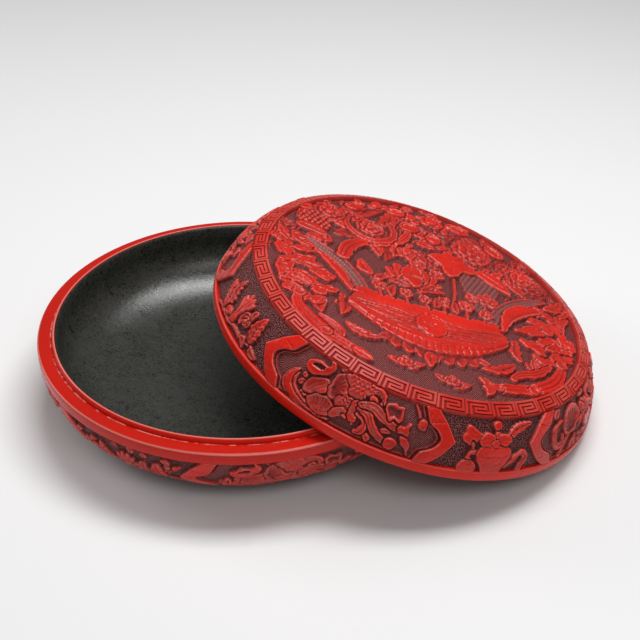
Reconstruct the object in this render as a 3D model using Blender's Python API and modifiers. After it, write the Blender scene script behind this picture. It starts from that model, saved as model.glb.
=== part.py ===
"""A round box of carved red lacquer in two parts: the lid leans on the base's rim.

Each part is a thin wooden core, lined with black lacquer and coated outside with
thick red lacquer. The lid's carving has its main forms, standing on a ground cut
deep into the coat; the finer scrollwork round them is left out.
"""

import math

import bmesh
import bpy
import numpy as np
from mathutils import Matrix, Vector

# Driving dimensions, in metres: what base and lid share
RIM_RADIUS = 0.110
RED_THICKNESS = 0.0032
CARVED_ZONE_DROP = 0.0010
CORNER_EASE = 0.0006
BOND_GAP = 0.0003

# Flats round every turned piece, and steps along its curves
FACETS = 60
CURVE_STEPS = 5
CROWN_STEPS = 3
LEAST_EDGE = 0.00005

# The base: BASE_HEIGHT is from the table to the ledge that the closed lid sits on
BASE_HEIGHT = 0.044
BASE_BAND_HEIGHT = 0.0065
FOOT_RADIUS = 0.070
FOOT_HEIGHT = 0.004
FOOT_WIDTH = 0.006
UNDERSIDE_THICKNESS = 0.0008
DISH_FLOOR_HEIGHT = 0.0106
DISH_FLOOR_RADIUS = 0.062
BASE_LINING_THICKNESS = 0.0010
LEDGE_THICKNESS = 0.0016
LIP_HEIGHT = 0.0028
LIP_THICKNESS = 0.0019
LINING_SETBACK = 0.0004
BASE_HOOP_BOTTOM = 0.026

# The lid: heights are measured up from its mouth, with the lid lying level
LID_BAND_HEIGHT = 0.0065
KEY_BAND_OUTER_RADIUS = 0.0976
KEY_BAND_OUTER_HEIGHT = 0.0316
KEY_BAND_WIDTH = 0.0078
KEY_BAND_RISE = 0.0036
LID_WALL_BULGE = 0.0017
MEDALLION_CROWN = 0.0015
LID_CORE_THICKNESS = 0.0024
LID_LINING_THICKNESS = 0.0008
LID_MOUTH_EDGE_THICKNESS = 0.0016
LID_SHOULDER_WIDTH = 0.0116
LID_HOOP_TOP = 0.0165
LID_FIT_CLEARANCE = 0.0006

# The lid's carving: the ground is cut this deep, and its forms stop this far below the bands
LID_GROUND_DEPTH = 0.0022
RELIEF_SETBACK = 0.0002
RELIEF_ROOT = 0.0005
ZONE_MARGIN = 0.0008

# How the lid stands: its mouth's centre is this far along +X from the base's axis
LID_OFFSET = 0.090
LEAN_GAP = 0.0003

# Sizes that follow from those
base_band_bottom = BASE_HEIGHT - BASE_BAND_HEIGHT
coat_end_radius = FOOT_RADIUS + BOND_GAP
core_depth = RED_THICKNESS + BOND_GAP
lid_lining_depth = core_depth + LID_CORE_THICKNESS + BOND_GAP
lid_mouth_radius = RIM_RADIUS - lid_lining_depth - LID_LINING_THICKNESS
key_band_inner_radius = KEY_BAND_OUTER_RADIUS - KEY_BAND_WIDTH
key_band_inner_height = KEY_BAND_OUTER_HEIGHT + KEY_BAND_RISE
lid_board_radius = KEY_BAND_OUTER_RADIUS - LID_SHOULDER_WIDTH
lip_outer_radius = lid_mouth_radius - LID_FIT_CLEARANCE
lip_inner_radius = lip_outer_radius - LIP_THICKNESS
lip_bottom = BASE_HEIGHT - LEDGE_THICKNESS
base_core_top = lip_bottom - BOND_GAP
base_lining_radius = lip_inner_radius - BOND_GAP
base_lining_bottom = DISH_FLOOR_HEIGHT - BASE_LINING_THICKNESS


def wipe_scene():
    """Start from an empty scene."""
    for item in list(bpy.data.objects):
        bpy.data.objects.remove(item, do_unlink=True)


def collection_of(name):
    """A collection that the scene shows."""
    group = bpy.data.collections.new(name)
    bpy.context.scene.collection.children.link(group)
    return group


def quarter_ellipse(centre, radii):
    """From the ellipse's outermost point down to its lowest, as (radius, height) points."""
    turns = [math.radians(90.0) * step / CURVE_STEPS for step in range(CURVE_STEPS + 1)]
    return [(centre[0] + radii[0] * math.cos(t), centre[1] - radii[1] * math.sin(t)) for t in turns]


def cut_at_radius(points, radius):
    """Ends a line that runs inwards at the given radius, cut short or carried on level."""
    kept = [p for p in points if p[0] > radius]
    beyond = [p for p in points if p[0] <= radius]
    if not beyond:
        return kept + [(radius, kept[-1][1])]
    start, end = kept[-1], beyond[0]
    share = (start[0] - radius) / (start[0] - end[0])
    return kept + [(radius, start[1] + share * (end[1] - start[1]))]


def split_at_height(points, height):
    """A line that runs down, cut in two where it passes the given height."""
    above = [p for p in points if p[1] > height]
    below = [p for p in points if p[1] <= height]
    start, end = above[-1], below[0]
    share = (start[1] - height) / (start[1] - end[1])
    cut = (start[0] + share * (end[0] - start[0]), height)
    return above + [cut], [cut] + below[height == below[0][1]:]


def bowed_line(start, end, bulge):
    """A flat arc from start down to end, bowed outwards by the bulge at its middle."""
    run = (end[0] - start[0], end[1] - start[1])
    length = math.hypot(*run)
    outward = (-run[1] / length, run[0] / length)
    points = []
    for step in range(CURVE_STEPS + 1):
        share = step / CURVE_STEPS
        rise = bulge * 4.0 * share * (1.0 - share)
        points.append((start[0] + run[0] * share + outward[0] * rise,
                       start[1] + run[1] * share + outward[1] * rise))
    return points


def inset(points, depth):
    """The line moved by the depth to its inner side, with its corners mitred."""
    moved = []
    for index, point in enumerate(points):
        before = points[max(index - 1, 0)]
        after = points[min(index + 1, len(points) - 1)]
        normals = []
        for start, end in ((before, point), (point, after)):
            length = math.hypot(end[0] - start[0], end[1] - start[1])
            if length > 0.0:
                normals.append(((end[1] - start[1]) / length, (start[0] - end[0]) / length))
        middle = [sum(part) / len(normals) for part in zip(*normals)]
        size = middle[0] ** 2 + middle[1] ** 2
        moved.append((point[0] + depth * middle[0] / size, point[1] + depth * middle[1] / size))
    return moved


def lid_skin():
    """The lid's outer skin before it is carved, from the centre out and down to the mouth."""
    key_inner = (key_band_inner_radius, key_band_inner_height)
    key_outer = (KEY_BAND_OUTER_RADIUS, KEY_BAND_OUTER_HEIGHT)
    crown = []
    for step in range(CROWN_STEPS):
        radius = key_band_inner_radius * step / CROWN_STEPS
        rise = MEDALLION_CROWN * (1.0 - (step / CROWN_STEPS) ** 2)
        crown.append((radius, key_band_inner_height + rise))
    wall = bowed_line(key_outer, (RIM_RADIUS, LID_BAND_HEIGHT), LID_WALL_BULGE)
    return crown + [key_inner] + wall + [(RIM_RADIUS, 0.0)]


def lid_layer(depth, foot_height=0.0):
    """The lid's skin moved in by a depth, down to a height above the mouth."""
    points = inset(lid_skin(), depth)
    points[0] = (0.0, points[0][1])
    points[-1] = (RIM_RADIUS - depth, foot_height)
    return points


def base_skin():
    """The base's outer skin before it is carved, from the lip's groove to the foot."""
    wall = quarter_ellipse((coat_end_radius, base_band_bottom),
                           (RIM_RADIUS - coat_end_radius, base_band_bottom - FOOT_HEIGHT))
    return [(lip_outer_radius, BASE_HEIGHT), (RIM_RADIUS, BASE_HEIGHT)] + wall


def lacquer(name, colour, roughness):
    """A glossy lacquer, or bare wood when rough."""
    material = bpy.data.materials.new(name)
    material.use_nodes = True
    shader = material.node_tree.nodes["Principled BSDF"]
    shader.inputs["Base Color"].default_value = (*colour, 1.0)
    shader.inputs["Roughness"].default_value = roughness
    shader.inputs["Metallic"].default_value = 0.0
    return material


def turned(name, section, finish, parent, group):
    """A solid turned about its parent's +Z. The section runs down its outer side."""
    on_axis = section[0][0] == 0.0
    count = len(section)
    edges = [(index, index + 1) for index in range(count - 1)]
    if not on_axis:
        edges.append((count - 1, 0))
    outline = bpy.data.meshes.new(name)
    outline.from_pydata([(radius, 0.0, height) for radius, height in section], edges, [])
    piece = bpy.data.objects.new(name, outline)
    group.objects.link(piece)
    lathe = piece.modifiers.new("Lathe", "SCREW")
    lathe.axis = "Z"
    lathe.angle = math.radians(360.0)
    lathe.steps = FACETS
    lathe.render_steps = FACETS
    lathe.use_merge_vertices = True
    lathe.merge_threshold = 0.00001
    depsgraph = bpy.context.evaluated_depsgraph_get()
    solid = bpy.data.meshes.new_from_object(piece.evaluated_get(depsgraph))
    piece.modifiers.clear()
    piece.data = solid
    solid.name = name
    solid.shade_smooth()
    solid.set_sharp_from_angle(angle=math.radians(30.0))
    solid.materials.clear()
    solid.materials.append(lacquer(name + "_finish", *finish))
    piece.parent = parent
    return piece


RED = ((0.50, 0.018, 0.010), 0.32)
BLACK = ((0.020, 0.022, 0.018), 0.30)
WOOD = ((0.45, 0.30, 0.18), 0.70)


# The medallion's main forms, as shares of its radius: x runs down the lean, y to the far side
BOWL = ((-0.44, -0.18), (0.0, -0.215), (0.43, -0.19), (0.49, -0.33), (0.41, -0.45), (0.27, -0.57),
        (0.25, -0.67), (0.0, -0.74), (-0.24, -0.67), (-0.27, -0.57), (-0.40, -0.47), (-0.51, -0.35))
SASH = ((0.80, 0.24), (0.66, 0.19), (0.52, 0.05), (0.45, -0.14), (0.52, -0.19), (0.60, -0.04),
        (0.70, 0.06), (0.82, 0.14))
CLOUD_BANK = ((0.92, 0.04), (0.83, 0.08), (0.74, 0.0), (0.66, -0.10), (0.63, -0.22), (0.72, -0.30),
              (0.87, -0.25), (0.94, -0.10))
SCEPTRE = ((0.82, -0.42), (0.75, -0.44), (0.70, -0.55), (0.60, -0.65), (0.48, -0.73), (0.36, -0.77),
           (0.36, -0.87), (0.50, -0.82), (0.65, -0.71), (0.77, -0.57))

# Its rounder forms, each (x, y, length, width, turn in degrees) by the same shares
ROUND_FORMS = ((-0.18, -0.79, 0.20, 0.09, 5.0), (0.09, -0.855, 0.24, 0.09, 0.0),
               (-0.62, -0.42, 0.11, 0.15, 0.0), (0.60, -0.42, 0.11, 0.15, 0.0),
               (-0.09, 0.05, 0.34, 0.22, 0.0), (0.26, -0.05, 0.13, 0.12, 0.0),
               (0.42, 0.07, 0.12, 0.12, 0.0), (-0.43, 0.24, 0.20, 0.11, 40.0),
               (-0.06, 0.37, 0.13, 0.12, 0.0), (0.51, 0.32, 0.30, 0.13, -22.0),
               (-0.63, 0.51, 0.31, 0.29, 0.0), (-0.31, 0.56, 0.28, 0.28, 0.0),
               (-0.13, 0.82, 0.20, 0.16, 0.0), (0.06, 0.66, 0.20, 0.19, 0.0),
               (0.25, 0.83, 0.20, 0.16, -15.0), (0.41, 0.61, 0.22, 0.22, 0.0),
               (0.69, 0.44, 0.19, 0.18, 0.0))
ROUND_FORM_SIDES = 9
MAPLE_LEAF = (0.21, 0.36, 0.19)
MAPLE_POINTS = 5

# Round the wall: bracket frames in pairs, and what stands in them and between them. Their
# outlines run along the wall in degrees, and up it as a share of its height.
CARTOUCHES = (-113.0, -29.5, 64.0, 157.5)
VASES = (-71.0, 110.5)
SPRAYS = (-157.0, 17.5)
BRACKET = ((18.8, 0.53), (20.8, 0.24), (25.6, 0.0), (20.6, -0.27), (19.6, -0.46), (23.4, -0.46),
           (29.4, 0.0), (26.2, 0.33), (22.8, 0.53))
CARTOUCHE_FORMS = (((-15.4, 0.16), (-16.2, 0.34), (-9.0, 0.46), (-3.4, 0.34), (-3.6, 0.02), (-10.4, -0.06)),
                   ((-12.0, -0.24), (-3.6, -0.12), (2.0, 0.10), (2.4, -0.20), (-4.6, -0.36), (-9.6, -0.42)),
                   ((4.4, 0.08), (14.0, 0.0), (16.4, -0.10), (12.4, -0.36), (5.0, -0.18)))
VASE = ((-5.6, -0.08), (-2.6, -0.42), (2.4, -0.42), (5.2, -0.10), (2.4, 0.06), (1.6, 0.38),
        (-1.4, 0.38), (-2.4, 0.06))
VASE_LEAVES = (((4.4, 0.14), (10.0, 0.42), (12.2, 0.34), (8.0, 0.12)),
               ((-10.0, 0.10), (-9.0, 0.34), (-5.0, 0.26), (-6.4, 0.02)))
SPRAY_FORMS = (((-7.0, -0.34), (-12.6, 0.10), (-9.6, 0.20), (-6.4, 0.30), (-5.0, -0.10)),
               ((-2.0, -0.30), (-2.6, 0.26), (2.0, 0.30), (0.4, -0.30)),
               ((9.4, -0.26), (7.0, 0.04), (9.6, 0.32), (12.0, 0.06)))


def make_base_carved_coat(parent, group):
    """Red lacquer: the ledge on top, the plain rim band and the carved wall under it."""
    ledge = [(lip_outer_radius + BOND_GAP, BASE_HEIGHT),
             (RIM_RADIUS - CORNER_EASE, BASE_HEIGHT),
             (RIM_RADIUS, BASE_HEIGHT - CORNER_EASE),
             (RIM_RADIUS, base_band_bottom)]
    drop = CARVED_ZONE_DROP
    reach = RIM_RADIUS - coat_end_radius
    fall = base_band_bottom - FOOT_HEIGHT
    wall = quarter_ellipse((coat_end_radius, base_band_bottom), (reach - drop, fall - drop))
    thick = RED_THICKNESS
    back = quarter_ellipse((coat_end_radius, base_band_bottom), (reach - thick, fall - thick))
    underside = [(RIM_RADIUS - thick, lip_bottom), (lip_outer_radius + BOND_GAP, lip_bottom)]
    turned("base_carved_coat", ledge + wall + back[::-1] + underside, RED, parent, group)


def base_core_faces(height):
    """The core wall's outer and inner faces, each cut in two at a height."""
    outer = quarter_ellipse((coat_end_radius, base_band_bottom),
                            (RIM_RADIUS - core_depth - coat_end_radius,
                             base_band_bottom - FOOT_HEIGHT - core_depth))
    inner = quarter_ellipse((DISH_FLOOR_RADIUS, base_band_bottom),
                            (lip_inner_radius - DISH_FLOOR_RADIUS,
                             base_band_bottom - base_lining_bottom + BOND_GAP))
    outer = [(RIM_RADIUS - core_depth, base_core_top)] + outer
    inner = [(lip_inner_radius, base_core_top)] + cut_at_radius(inner, coat_end_radius)
    return split_at_height(outer, height), split_at_height(inner, height)


def make_base_core_hoop(parent, group):
    """The bent-wood hoop, the upper part of the wall."""
    outer, inner = base_core_faces(BASE_HOOP_BOTTOM)
    turned("base_core_hoop", outer[0] + inner[0][::-1], WOOD, parent, group)


def make_base_core_bend(parent, group):
    """The turned ring that carries the wall in from the hoop to the floor board."""
    outer, inner = base_core_faces(BASE_HOOP_BOTTOM - BOND_GAP)
    turned("base_core_bend", outer[1] + inner[1][::-1], WOOD, parent, group)


def make_base_core_floor(parent, group):
    """The round board between the dish and the foot."""
    top = base_lining_bottom - BOND_GAP
    bottom = FOOT_HEIGHT + BOND_GAP
    edge = coat_end_radius - BOND_GAP
    turned("base_core_floor", [(0.0, top), (edge, top), (edge, bottom), (0.0, bottom)],
           WOOD, parent, group)


def make_base_lip(parent, group):
    """The thin red ring on the ledge that locates the closed lid."""
    top = BASE_HEIGHT + LIP_HEIGHT
    ease = CORNER_EASE
    section = [(lip_inner_radius + ease, top), (lip_outer_radius - ease, top),
               (lip_outer_radius, top - ease), (lip_outer_radius, lip_bottom),
               (lip_inner_radius, lip_bottom), (lip_inner_radius, top - ease)]
    turned("base_lip", section, RED, parent, group)


def make_base_lining(parent, group):
    """The black lacquered dish."""
    top = BASE_HEIGHT + LIP_HEIGHT - LINING_SETBACK
    centre = (DISH_FLOOR_RADIUS, base_band_bottom)
    outer = quarter_ellipse(centre, (base_lining_radius - DISH_FLOOR_RADIUS,
                                     base_band_bottom - base_lining_bottom))
    face_radius = base_lining_radius - BASE_LINING_THICKNESS
    inner = quarter_ellipse(centre, (face_radius - DISH_FLOOR_RADIUS,
                                     base_band_bottom - DISH_FLOOR_HEIGHT))
    section = [(0.0, DISH_FLOOR_HEIGHT)] + inner[::-1] + [(face_radius, top), (base_lining_radius, top)]
    turned("base_lining", section + outer + [(0.0, base_lining_bottom)], BLACK, parent, group)


def make_base_foot_ring(parent, group):
    """The low ring that the box stands on."""
    inner = FOOT_RADIUS - FOOT_WIDTH
    section = [(inner, FOOT_HEIGHT), (FOOT_RADIUS, FOOT_HEIGHT), (FOOT_RADIUS, 0.0), (inner, 0.0)]
    turned("base_foot_ring", section, BLACK, parent, group)


def make_base_underside(parent, group):
    """The black lacquer under the floor, inside the foot ring."""
    edge = FOOT_RADIUS - FOOT_WIDTH - BOND_GAP
    bottom = FOOT_HEIGHT - UNDERSIDE_THICKNESS
    section = [(0.0, FOOT_HEIGHT), (edge, FOOT_HEIGHT), (edge, bottom), (0.0, bottom)]
    turned("base_underside", section, BLACK, parent, group)


def lid_coat_face():
    """The lid's red face, with the ground of its carved zones below the plain bands."""
    skin = lid_skin()
    lowered = inset(skin, LID_GROUND_DEPTH)
    key_inner, key_outer = skin[CROWN_STEPS], skin[CROWN_STEPS + 1]
    crown = [(0.0, lowered[0][1])] + lowered[1:CROWN_STEPS]
    crown_edge = (key_inner[0], key_inner[1] - LID_GROUND_DEPTH)
    wall = lowered[CROWN_STEPS + 2:-2]
    wall_foot = (RIM_RADIUS - LID_GROUND_DEPTH, LID_BAND_HEIGHT)
    key_step = (key_outer[0], key_outer[1] - LID_GROUND_DEPTH)
    band = [(RIM_RADIUS, LID_BAND_HEIGHT), (RIM_RADIUS, CORNER_EASE), (RIM_RADIUS - CORNER_EASE, 0.0)]
    return crown + [crown_edge, key_inner, key_outer, key_step] + wall + [wall_foot] + band


def blank_section(skin):
    """A closed section round a stretch of skin, from the carving's tops down to its roots."""
    top = inset(skin, RELIEF_SETBACK)
    root = inset(skin, LID_GROUND_DEPTH + RELIEF_ROOT)
    if skin[0][0] == 0.0:
        top[0] = (0.0, top[0][1])
        root[0] = (0.0, root[0][1])
    return top + root[::-1]


def relief_blanks(parent, group):
    """The lacquer that the carving is cut from, over the medallion and round the wall."""
    skin = lid_skin()
    crown = skin[:CROWN_STEPS] + [(key_band_inner_radius - ZONE_MARGIN, key_band_inner_height)]
    medallion = turned("medallion_blank", blank_section(crown), RED, parent, group)
    wall = split_at_height(skin[CROWN_STEPS + 1:-1], KEY_BAND_OUTER_HEIGHT - ZONE_MARGIN)[1]
    wall[-1] = (RIM_RADIUS, LID_BAND_HEIGHT + ZONE_MARGIN)
    return medallion, turned("wall_blank", blank_section(wall), RED, parent, group)


def add_block(blocks, outline, depth, place):
    """Adds a flat outline as a closed block, half its depth to each side of its place."""
    drawing = bpy.data.curves.new("block", "CURVE")
    drawing.dimensions = "2D"
    drawing.fill_mode = "BOTH"
    drawing.extrude = depth / 2.0
    line = drawing.splines.new("POLY")
    line.points.add(len(outline) - 1)
    line.use_cyclic_u = True
    for point, (x, y) in zip(line.points, outline):
        point.co = (x, y, 0.0, 1.0)
    drawn = bpy.data.objects.new("block", drawing)
    bpy.context.scene.collection.objects.link(drawn)
    depsgraph = bpy.context.evaluated_depsgraph_get()
    solid = bpy.data.meshes.new_from_object(drawn.evaluated_get(depsgraph))
    bpy.data.objects.remove(drawn, do_unlink=True)
    solid.transform(place)
    blocks.from_mesh(solid)


def round_form(x, y, length, width, turn):
    """The outline of a rounded form, by its middle, its size and its turn."""
    outline = []
    for side in range(ROUND_FORM_SIDES):
        angle = math.radians(360.0) * side / ROUND_FORM_SIDES
        along, across = length / 2.0 * math.cos(angle), width / 2.0 * math.sin(angle)
        cosine, sine = math.cos(math.radians(turn)), math.sin(math.radians(turn))
        outline.append((x + along * cosine - across * sine, y + along * sine + across * cosine))
    return outline


def maple_leaf():
    """The outline of the pointed leaf, point and hollow by turns."""
    x, y, reach = MAPLE_LEAF
    outline = []
    for index in range(2 * MAPLE_POINTS):
        angle = math.radians(-118.0) + math.pi * index / MAPLE_POINTS
        radius = reach * (0.55 if index % 2 else 1.0)
        outline.append((x + radius * math.cos(angle), y + radius * math.sin(angle)))
    return outline


def medallion_blocks(blocks):
    """The medallion's main forms, as tall blocks that stand through its lacquer."""
    outlines = [BOWL, maple_leaf()] + [round_form(*form) for form in ROUND_FORMS]
    for outline in (SASH, CLOUD_BANK, SCEPTRE):
        outlines.append(outline)
        outlines.append([(-x, y) for x, y in outline][::-1])
    level = Matrix.Translation((0.0, 0.0, key_band_inner_height))
    for outline in outlines:
        sized = [(x * key_band_inner_radius, y * key_band_inner_radius) for x, y in outline]
        add_block(blocks, sized, 4.0 * RED_THICKNESS, level)


def wall_blocks(blocks):
    """The wall's main forms, as blocks that stand square to it at their own angle."""
    placed = []
    for middle in CARTOUCHES:
        placed.append((middle, BRACKET))
        placed.append((middle, [(-x, y) for x, y in BRACKET][::-1]))
        placed += [(middle, form) for form in CARTOUCHE_FORMS]
    for middle in VASES:
        placed += [(middle, form) for form in (VASE,) + VASE_LEAVES]
    for middle in SPRAYS:
        placed += [(middle, form) for form in SPRAY_FORMS]
    run = (RIM_RADIUS - KEY_BAND_OUTER_RADIUS, LID_BAND_HEIGHT - KEY_BAND_OUTER_HEIGHT)
    height = math.hypot(*run)
    up_wall = Vector((-run[0] / height, 0.0, -run[1] / height))
    out = Vector((-run[1] / height, 0.0, run[0] / height))
    radius = (RIM_RADIUS + KEY_BAND_OUTER_RADIUS) / 2.0
    level = (LID_BAND_HEIGHT + KEY_BAND_OUTER_HEIGHT) / 2.0
    upright = Matrix((Vector((0.0, 1.0, 0.0)), up_wall, out)).transposed().to_4x4()
    for middle, outline in placed:
        centre = sum(x for x, _ in outline) / len(outline)
        round_wall = Matrix.Rotation(math.radians(middle + centre), 4, "Z")
        sized = [(math.radians(x - centre) * RIM_RADIUS, y * height) for x, y in outline]
        place = round_wall @ Matrix.Translation((radius, 0.0, level)) @ upright
        add_block(blocks, sized, 4.0 * RED_THICKNESS, place)


def combined(piece, other, operation):
    """The piece's mesh joined with, or cut down to, another's."""
    step = piece.modifiers.new("Carving", "BOOLEAN")
    step.operation = operation
    step.solver = "EXACT"
    step.object = other
    depsgraph = bpy.context.evaluated_depsgraph_get()
    solid = bpy.data.meshes.new_from_object(piece.evaluated_get(depsgraph))
    piece.modifiers.clear()
    piece.data = solid
    bpy.data.objects.remove(other, do_unlink=True)
    tidied = bmesh.new()
    tidied.from_mesh(solid)
    bmesh.ops.dissolve_degenerate(tidied, edges=tidied.edges, dist=LEAST_EDGE)
    tidied.to_mesh(solid)
    tidied.free()


def carved_forms(blank, draw_blocks, group):
    """The blank cut down to the forms whose blocks stand through it."""
    blocks = bmesh.new()
    draw_blocks(blocks)
    bmesh.ops.remove_doubles(blocks, verts=blocks.verts, dist=0.000001)
    bmesh.ops.recalc_face_normals(blocks, faces=blocks.faces)
    mesh = bpy.data.meshes.new("blocks")
    blocks.to_mesh(mesh)
    blocks.free()
    solid = bpy.data.objects.new("blocks", mesh)
    group.objects.link(solid)
    solid.parent = blank.parent
    combined(blank, solid, "INTERSECT")


def make_lid_carved_coat(parent, group):
    """Red lacquer: rim band, carved wall, key-fret band and round medallion."""
    edge = LID_MOUTH_EDGE_THICKNESS
    back = lid_layer(RED_THICKNESS, edge)[::-1]
    mouth_inner = RIM_RADIUS - lid_lining_depth + BOND_GAP
    mouth = [(mouth_inner, 0.0), (mouth_inner, edge)]
    coat = turned("lid_carved_coat", lid_coat_face() + mouth + back, RED, parent, group)
    medallion, wall = relief_blanks(parent, group)
    for blank, draw_blocks in ((medallion, medallion_blocks), (wall, wall_blocks)):
        carved_forms(blank, draw_blocks, group)
        combined(coat, blank, "UNION")
    coat.data.shade_smooth()
    coat.data.set_sharp_from_angle(angle=math.radians(30.0))


def lid_core_faces():
    """The lid core's outer and inner faces, from the centre out and down."""
    bottom = LID_MOUTH_EDGE_THICKNESS + BOND_GAP
    outer = lid_layer(core_depth, bottom)
    inner = lid_layer(core_depth + LID_CORE_THICKNESS, bottom)
    return outer, inner


def make_lid_core_hoop(parent, group):
    """The bent-wood hoop, the lower part of the lid's wall."""
    outer, inner = lid_core_faces()
    outer = split_at_height(outer, LID_HOOP_TOP)[1]
    inner = split_at_height(inner, LID_HOOP_TOP)[1]
    turned("lid_core_hoop", outer + inner[::-1], WOOD, parent, group)


def make_lid_core_shoulder(parent, group):
    """The turned ring between the lid's hoop and its top board."""
    outer, inner = lid_core_faces()
    joint = lid_board_radius + BOND_GAP
    outer = split_at_height(cut_at_radius(outer[::-1], joint)[::-1], LID_HOOP_TOP + BOND_GAP)[0]
    inner = split_at_height(cut_at_radius(inner[::-1], joint)[::-1], LID_HOOP_TOP + BOND_GAP)[0]
    turned("lid_core_shoulder", outer + inner[::-1], WOOD, parent, group)


def make_lid_core_top(parent, group):
    """The round board under the medallion."""
    outer, inner = lid_core_faces()
    top = [p for p in outer if p[0] < lid_board_radius]
    bottom = [p for p in inner if p[0] < lid_board_radius]
    top_edge = cut_at_radius(outer[::-1], lid_board_radius)[-1]
    bottom_edge = cut_at_radius(inner[::-1], lid_board_radius)[-1]
    turned("lid_core_top", top + [top_edge, bottom_edge] + bottom[::-1], WOOD, parent, group)


def make_lid_lining(parent, group):
    """The black lacquer inside the lid."""
    outer = lid_layer(lid_lining_depth)
    inner = lid_layer(lid_lining_depth + LID_LINING_THICKNESS)
    turned("lid_lining", outer + inner[::-1], BLACK, parent, group)


def depth_in_section(points, section):
    """Distance of each (radius, height) point from a closed section, negative inside it."""
    start = np.array(section)
    end = np.roll(start, -1, axis=0)
    run = end - start
    away = points[:, None, :] - start[None, :, :]
    along = np.clip((away * run).sum(-1) / (run * run).sum(-1), 0.0, 1.0)
    nearest = np.hypot(*np.moveaxis(away - along[..., None] * run, -1, 0)).min(axis=1)
    above = (start[None, :, 1] > points[:, None, 1]) != (end[None, :, 1] > points[:, None, 1])
    slope = np.where(run[:, 1] == 0.0, 1.0, run[:, 1])
    crossing = start[:, 0] + (points[:, None, 1] - start[:, 1]) * run[:, 0] / slope
    inside = ((points[:, None, 0] < crossing) & above).sum(axis=1) % 2 == 1
    return np.where(inside, -nearest, nearest)


def circles(section):
    """Points round half of every circle that the section's corners turn through."""
    angles = np.radians(np.arange(0.0, 181.0, 1.0))
    corners = np.array(section)
    radius = corners[:, None, 0]
    height = np.broadcast_to(corners[:, None, 1], (len(corners), len(angles)))
    return np.stack([radius * np.cos(angles), radius * np.sin(angles), height], -1).reshape(-1, 3)


def lid_centre_height(lean, section):
    """Height of the mouth's centre when the leaning lid's lowest corner is on the table."""
    return max(radius * math.sin(lean) - height * math.cos(lean) for radius, height in section)


def hollow_lid_section():
    """The lid's whole section, from its red face round the mouth to its lining."""
    mouth_depth = RIM_RADIUS - lid_mouth_radius
    return lid_coat_face() + lid_layer(mouth_depth)[::-1]


def standing_base_section():
    """The base's whole section as one solid, with its lip but not its dish."""
    lip_top = BASE_HEIGHT + LIP_HEIGHT
    return [(0.0, lip_top), (lip_outer_radius, lip_top)] + base_skin() + [(0.0, FOOT_HEIGHT)]


def room_between(lean, base_section, lid_section):
    """Least distance between the standing base and the leaning lid."""
    cosine, sine = math.cos(lean), math.sin(lean)
    centre = np.array((LID_OFFSET, 0.0, lid_centre_height(lean, lid_section)))
    to_world = np.array(((cosine, 0.0, sine), (0.0, 1.0, 0.0), (-sine, 0.0, cosine)))
    base_points = (circles(base_section) - centre) @ to_world
    lid_points = circles(lid_section) @ to_world.T + centre
    base_flat = np.stack([np.hypot(base_points[:, 0], base_points[:, 1]), base_points[:, 2]], -1)
    lid_flat = np.stack([np.hypot(lid_points[:, 0], lid_points[:, 1]), lid_points[:, 2]], -1)
    return min(depth_in_section(base_flat, lid_section).min(),
               depth_in_section(lid_flat, base_section).min())


def find_lean(base_section, lid_section):
    """The least lean at which the lid stands clear of the base's rim by the lean gap."""
    low, high = math.radians(2.0), math.radians(60.0)
    for _ in range(30):
        middle = (low + high) / 2.0
        if room_between(middle, base_section, lid_section) < LEAN_GAP:
            low = middle
        else:
            high = middle
    return high


def anchor(name, place, lean=0.0):
    """An empty that a part's pieces hang from."""
    empty = bpy.data.objects.new(name, None)
    empty.location = place
    empty.rotation_euler = (0.0, lean, 0.0)
    bpy.context.scene.collection.objects.link(empty)
    return empty


wipe_scene()
box_parts = collection_of("lacquer_box")

lid_section = hollow_lid_section()
lean = find_lean(standing_base_section(), lid_section)

# The origin is midway between the base's far left and the leaning lid's far right
lid_reach = max(radius * math.cos(lean) + height * math.sin(lean) for radius, height in lid_section)
base_x = (RIM_RADIUS - LID_OFFSET - lid_reach) / 2.0
base_axis = anchor("base_axis", (base_x, 0.0, 0.0))
lid_mouth = anchor("lid_mouth",
                   (base_x + LID_OFFSET, 0.0, lid_centre_height(lean, lid_section)), lean)

make_base_core_floor(base_axis, box_parts)
make_base_core_bend(base_axis, box_parts)
make_base_core_hoop(base_axis, box_parts)
make_base_foot_ring(base_axis, box_parts)
make_base_underside(base_axis, box_parts)
make_base_lip(base_axis, box_parts)
make_base_lining(base_axis, box_parts)
make_base_carved_coat(base_axis, box_parts)
make_lid_core_top(lid_mouth, box_parts)
make_lid_core_shoulder(lid_mouth, box_parts)
make_lid_core_hoop(lid_mouth, box_parts)
make_lid_lining(lid_mouth, box_parts)
make_lid_carved_coat(lid_mouth, box_parts)

print("lean in degrees %.2f, base axis at x %.5f, mouth centre at height %.5f"
      % (math.degrees(lean), base_x, lid_mouth.location.z))
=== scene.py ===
"""A round box of carved red lacquer, open: its lid leans on the rim of the base.

All sizes are in millimetres. Angles round a part are in degrees from +X towards +Y.
"""

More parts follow.
